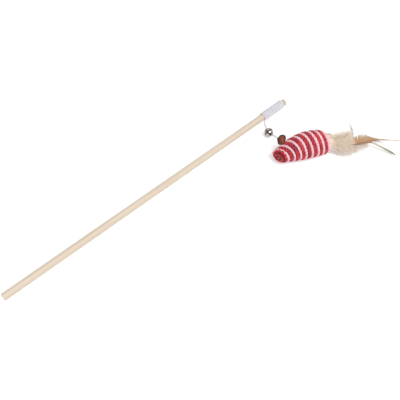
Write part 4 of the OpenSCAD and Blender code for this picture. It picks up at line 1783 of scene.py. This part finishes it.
@dataclass
class LongFeather:
    """A long feather: a curved shaft with barbs that make its vane.

    The route gives the shaft's place and the vane its half width, by the share of
    the shaft's length. The lean, reach, lift and droop of a barb are shares too.
    """

    node: str
    length: float
    width: float
    route_shares: Table
    vane_shares: Table
    quill: Span
    finish: VaneFinish
    barb_gap: float = 0.34
    lift_share: float = 0.0
    quill_r: float = 0.42
    tip_r: float = 0.1
    quill_in: float = 0.3
    floor: float = 0.6
    barb_floor: float = 0.3
    shaft_steps: int = 160
    last_share: float = 0.995
    least_barb: float = 0.25
    clump_size: int = 7
    clump_spread: float = 0.07
    lean_spread: float = 0.03
    lean_shares: Span = (0.95, 0.55)
    lean_power: float = 1.15
    reach_share: Span = (0.9, 1.08)
    droop_share: float = 0.12
    width_shares: tuple[float, ...] = (1.0, 1.0, 0.95, 0.85, 0.7, 0.5, 0.12)
    barb_width_share: float = 0.8

    def shaft(self, tail: TailForm, t: float) -> np.ndarray:
        """Point of the shaft at a share t of its length.

        Args:
            tail: Shape of the tail.
            t: The share.

        Returns:
            The point, in the mouse's frame.
        """
        base = tail.end + [self.quill_in - tail.socket, *self.quill]
        columns = [[(row[0], row[k]) for row in self.route_shares] for k in (1, 2, 3)]
        q = base + (self.length + tail.socket) * np.array(
            [smooth_at(column, t) for column in columns])
        q = q - tail.shift(q[0] - tail.end[0])
        q[2] = max(q[2], self.floor)
        return q

    def half_width(self, t: float) -> float:
        """Half width of the vane at a share t of the shaft's length."""
        return self.width / 2 * smooth_at(self.vane_shares, min(t, self.last_share))

    def rachis(self, tail: TailForm, line: np.ndarray) -> Object:
        """Makes the shaft, with its UV map along the feather as the vane's.

        Args:
            tail: Shape of the tail.
            line: Points of the shaft.

        Returns:
            The shaft's object.
        """
        radius = np.linspace(self.quill_r, self.tip_r, len(line)) * MM
        shaft = Strand(tail.form.row(line), UP, radius, radius, PLAIN_LAY).build("shaft")
        layer = shaft.data.uv_layers[0].data
        uv = np.zeros(2 * len(layer), dtype=np.float32)
        layer.foreach_get("uv", uv)
        uv[0::2], uv[1::2] = 0.5, uv[1::2] / uv[1::2].max()
        layer.foreach_set("uv", uv)
        return shaft

    def build(self, tail: TailForm) -> None:
        """Makes the shaft and its barbs, joins them and dresses the feather.

        Args:
            tail: Shape of the tail.
        """
        rng = np.random.default_rng(len(self.node) * 7)
        last = self.shaft_steps - 1
        fine = np.array([self.shaft(tail, t) for t in np.linspace(0, 1, self.shaft_steps)])
        along = unit(np.gradient(fine, axis=0))
        shaft = self.rachis(tail, fine)
        count = int(self.length / self.barb_gap)
        span = np.linspace(0, 1, len(self.width_shares))
        points, across, uvs, tints = [], [], [], []
        clump = 0.0
        for side, i in ((side, i) for side in (-1, 1) for i in range(count)):
            t = i / count
            half = self.half_width(t + 0.5 * self.half_width(t) / self.length)
            if half < self.least_barb:
                continue
            if i % self.clump_size == 0:
                clump = rng.normal(0, self.clump_spread)
            k = min(t * last, last - 0.01)
            at = fine[int(k)] + (fine[int(k) + 1] - fine[int(k)]) * (k % 1)
            direction = along[int(k)]
            aside = unit(np.cross(UP, direction)) * side
            lean = self.lean_shares[side > 0] + clump + rng.normal(0, self.lean_spread)
            reach = half * rng.uniform(*self.reach_share)
            rise = (self.lift_share * max(side, 0) * span * reach
                    - self.droop_share * reach * span ** 2)
            line = (at + np.outer(span * reach, aside)
                    + np.outer(span ** self.lean_power * reach * lean, direction)
                    + np.outer(rise, UP))
            line[:, 2] = np.maximum(line[:, 2], self.barb_floor)
            points.append(line)
            across.append(direction)
            uvs.append(np.stack([0.5 + side * span * 0.5, np.full(len(span), t)], axis=1))
            tints.append(rng.uniform(0, 1))
        widths = np.array(self.width_shares) * self.barb_gap * self.barb_width_share
        verts, faces = ribbons(np.array(points), np.array(across), widths)
        uv_points = np.repeat(np.array(uvs), 2, axis=1).reshape(-1, 2)
        vane = mesh_object(f"{self.node}_vane", tail.form.row(verts), faces.tolist(),
                           np.repeat(np.array(tints), len(span) * 2),
                           uv_points[faces.ravel()])
        activate(vane)
        shaft.select_set(True)
        bpy.ops.object.join()
        dress(vane, self.finish.material(), "mouse", self.node, self.node)


FEATHERS = (
    LongFeather(
        "tan_feather", 88.0, 15.0,
        ((0, 0, 0, 0), (0.35, 0.36, 0, 0), (0.5, 0.52, 0.002, 0.006),
         (0.62, 0.63, -0.01, -0.006), (0.75, 0.74, -0.035, -0.03),
         (1, 0.97, -0.115, -0.036)),
        ((0, 0), (0.25, 0), (0.33, 0.45), (0.41, 0.85), (0.5, 1), (0.57, 0.85),
         (0.64, 0.42), (0.72, 0.2), (0.86, 0.1), (1, 0)), (-0.2, 0.35),
        VaneFinish(tip_from=0.7), lift_share=0.3, tip_r=0.4),
    LongFeather(
        "olive_feather", 82.0, 3.6,
        ((0, 0, 0, 0), (0.45, 0.45, -0.01, 0), (0.65, 0.636, -0.052, 0),
         (0.82, 0.79, -0.182, -0.036), (1, 0.905, -0.318, -0.064)),
        ((0, 0), (0.5, 0.25), (0.7, 0.85), (0.9, 1), (1, 0)), (-1.3, -0.6),
        VaneFinish("olive_vane", srgb(206, 190, 164), srgb(208, 196, 172),
                   srgb(184, 172, 148), srgb(122, 122, 98), 0.66), barb_gap=0.3),
    LongFeather(
        "grey_feather", 42.0, 4.2,
        ((0, 0, 0, 0), (0.5, 0.5, 0, 0), (0.74, 0.74, 0.04, 0.015),
         (0.86, 0.82, 0.21, 0.08), (1, 0.84, 0.49, 0.15)),
        ((0, 0), (0.7, 0.1), (0.84, 0.8), (0.92, 1), (1, 0)), (0.75, 1.35),
        VaneFinish("grey_vane", srgb(182, 180, 172), srgb(172, 172, 164),
                   srgb(148, 150, 144), srgb(146, 151, 143), 0.6), barb_gap=0.24),
    LongFeather(
        "pale_feather", 82.0, 4.4,
        ((0, 0, 0, 0), (0.45, 0.45, 0, 0), (0.75, 0.7, -0.02, -0.01),
         (1, 0.82, -0.1, -0.03)),
        ((0, 0), (0.5, 0.3), (0.75, 1), (1, 0)), (0.1, -1.5),
        VaneFinish("pale_vane", srgb(206, 196, 190), srgb(216, 206, 198),
                   srgb(188, 182, 180), srgb(196, 192, 192), 0.7), barb_gap=0.5))


@dataclass
class Mouse:
    """The rope-wound mouse with its ears and feather tail."""

    form: MouseForm

    def ropes(self) -> None:
        """Makes the red rope, its brown cut end and the white rope."""
        last = self.form.white_to
        red = RopeWinding(self.form, -0.45, last - 0.3, 0.5, 3.7, -0.15, 0.68, 0.45,
                          Lay(26, 0.3, 13.0, wander=0.5), start_swell_share=-0.14,
                          face_lean_share=0.7, spiral_turns=1.35)
        dress(red.build("red_paper_rope"), PaperRopeFinish().material(), "mouse",
              "red_rope", "red_rope")
        # Its third colour is the painted shade; the second, its painted highlight and lighter
        # patches.
        brown = PaperRopeFinish("brown_rope_end", srgb(140, 78, 54), srgb(190, 124, 96),
                                srgb(84, 34, 28))
        dress(red.rope_end("brown_rope_end"), brown.material(), "mouse", "red_rope", "nose")
        white = RopeWinding(self.form, -0.3, last, 0.0, 3.3, -0.1, 0.47, 0.6,
                            Lay(26, 0.36, 11.4, wander=0.5), start_swell_share=0.3)
        # Its third colour is the painted shade, pink on the rope's sides; the second, its
        # painted highlight and lighter patches.
        blush = PaperRopeFinish("blush_paper_rope", srgb(255, 204, 214),
                                srgb(255, 234, 238), srgb(248, 122, 144),
                                valley_shade_share=0.45, edge_share=0.6, patch_share=0.25)
        dress(white.build("white_paper_rope"), blush.material(), "mouse",
              "white_rope", "white_rope")

    def ears(self) -> None:
        """Makes both ears."""
        suede = SuedeFinish().material()
        Ear("left_ear_suede", "left_ear", 9.5, 24.0, 42.0, 26.0, 40.0,
            height=9.9, width=8.8).build(self.form, suede)
        Ear("right_ear_suede", "right_ear", 10.3, 55.0, 60.0, 8.0, 70.0).build(self.form, suede)

    def tail(self) -> None:
        """Makes the down and the long feathers."""
        tail = TailForm(self.form)
        tones = {
            Tone.WARM: DownFinish().material(),
            Tone.ROSE: DownFinish("rose_grey_down", srgb(255, 247, 239),
                                  srgb(250, 233, 222)).material()}
        for plume in (Plume("plume_far", 0, Tone.WARM, 29.16),
                      Plume("plume_far_top", 1, Tone.WARM, 30.24),
                      Plume("plume_top", 2, Tone.WARM, 26.46),
                      Plume("plume_near_top", 3, Tone.WARM, 22.68),
                      Plume("plume_near", 4, Tone.ROSE, 46.0, LOW_SHARES, barbs=1700),
                      Plume("plume_near_low", 5, Tone.ROSE, 24.84, NEAR_SHARES),
                      Plume("plume_far_low", 6, Tone.ROSE, 25.92)):
            plume.build(tail, tones[plume.tone])
        for feather in FEATHERS:
            feather.build(tail)

    def build(self) -> None:
        """Makes the whole mouse."""
        self.ropes()
        dress_node("mouse_core", CoreFinish().material())
        self.ears()
        self.tail()


def main() -> None:
    """Builds the scene, sub-assembly by sub-assembly."""
    logging.basicConfig(level=logging.INFO, format="%(name)s: %(message)s")
    bpy.context.scene.view_settings.view_transform = "Standard"
    PhotoView().build()
    cord = CordFinish().material()
    Lead().build(cord)
    Studio().build()
    Wand().build(WoodFinish().material(), cord)
    Bell().build(MetalFinish().material(),
                 # The bell's inside: dull steel, darkened with painted shade.
                 MetalFinish("bell_inside_shade", srgb(52, 44, 44), 0.5).material(),
                 MetalFinish("pea_steel", srgb(150, 150, 154), 0.35).material())
    Mouse(MouseForm()).build()
    deselect()


if __name__ == "__main__":
    main()
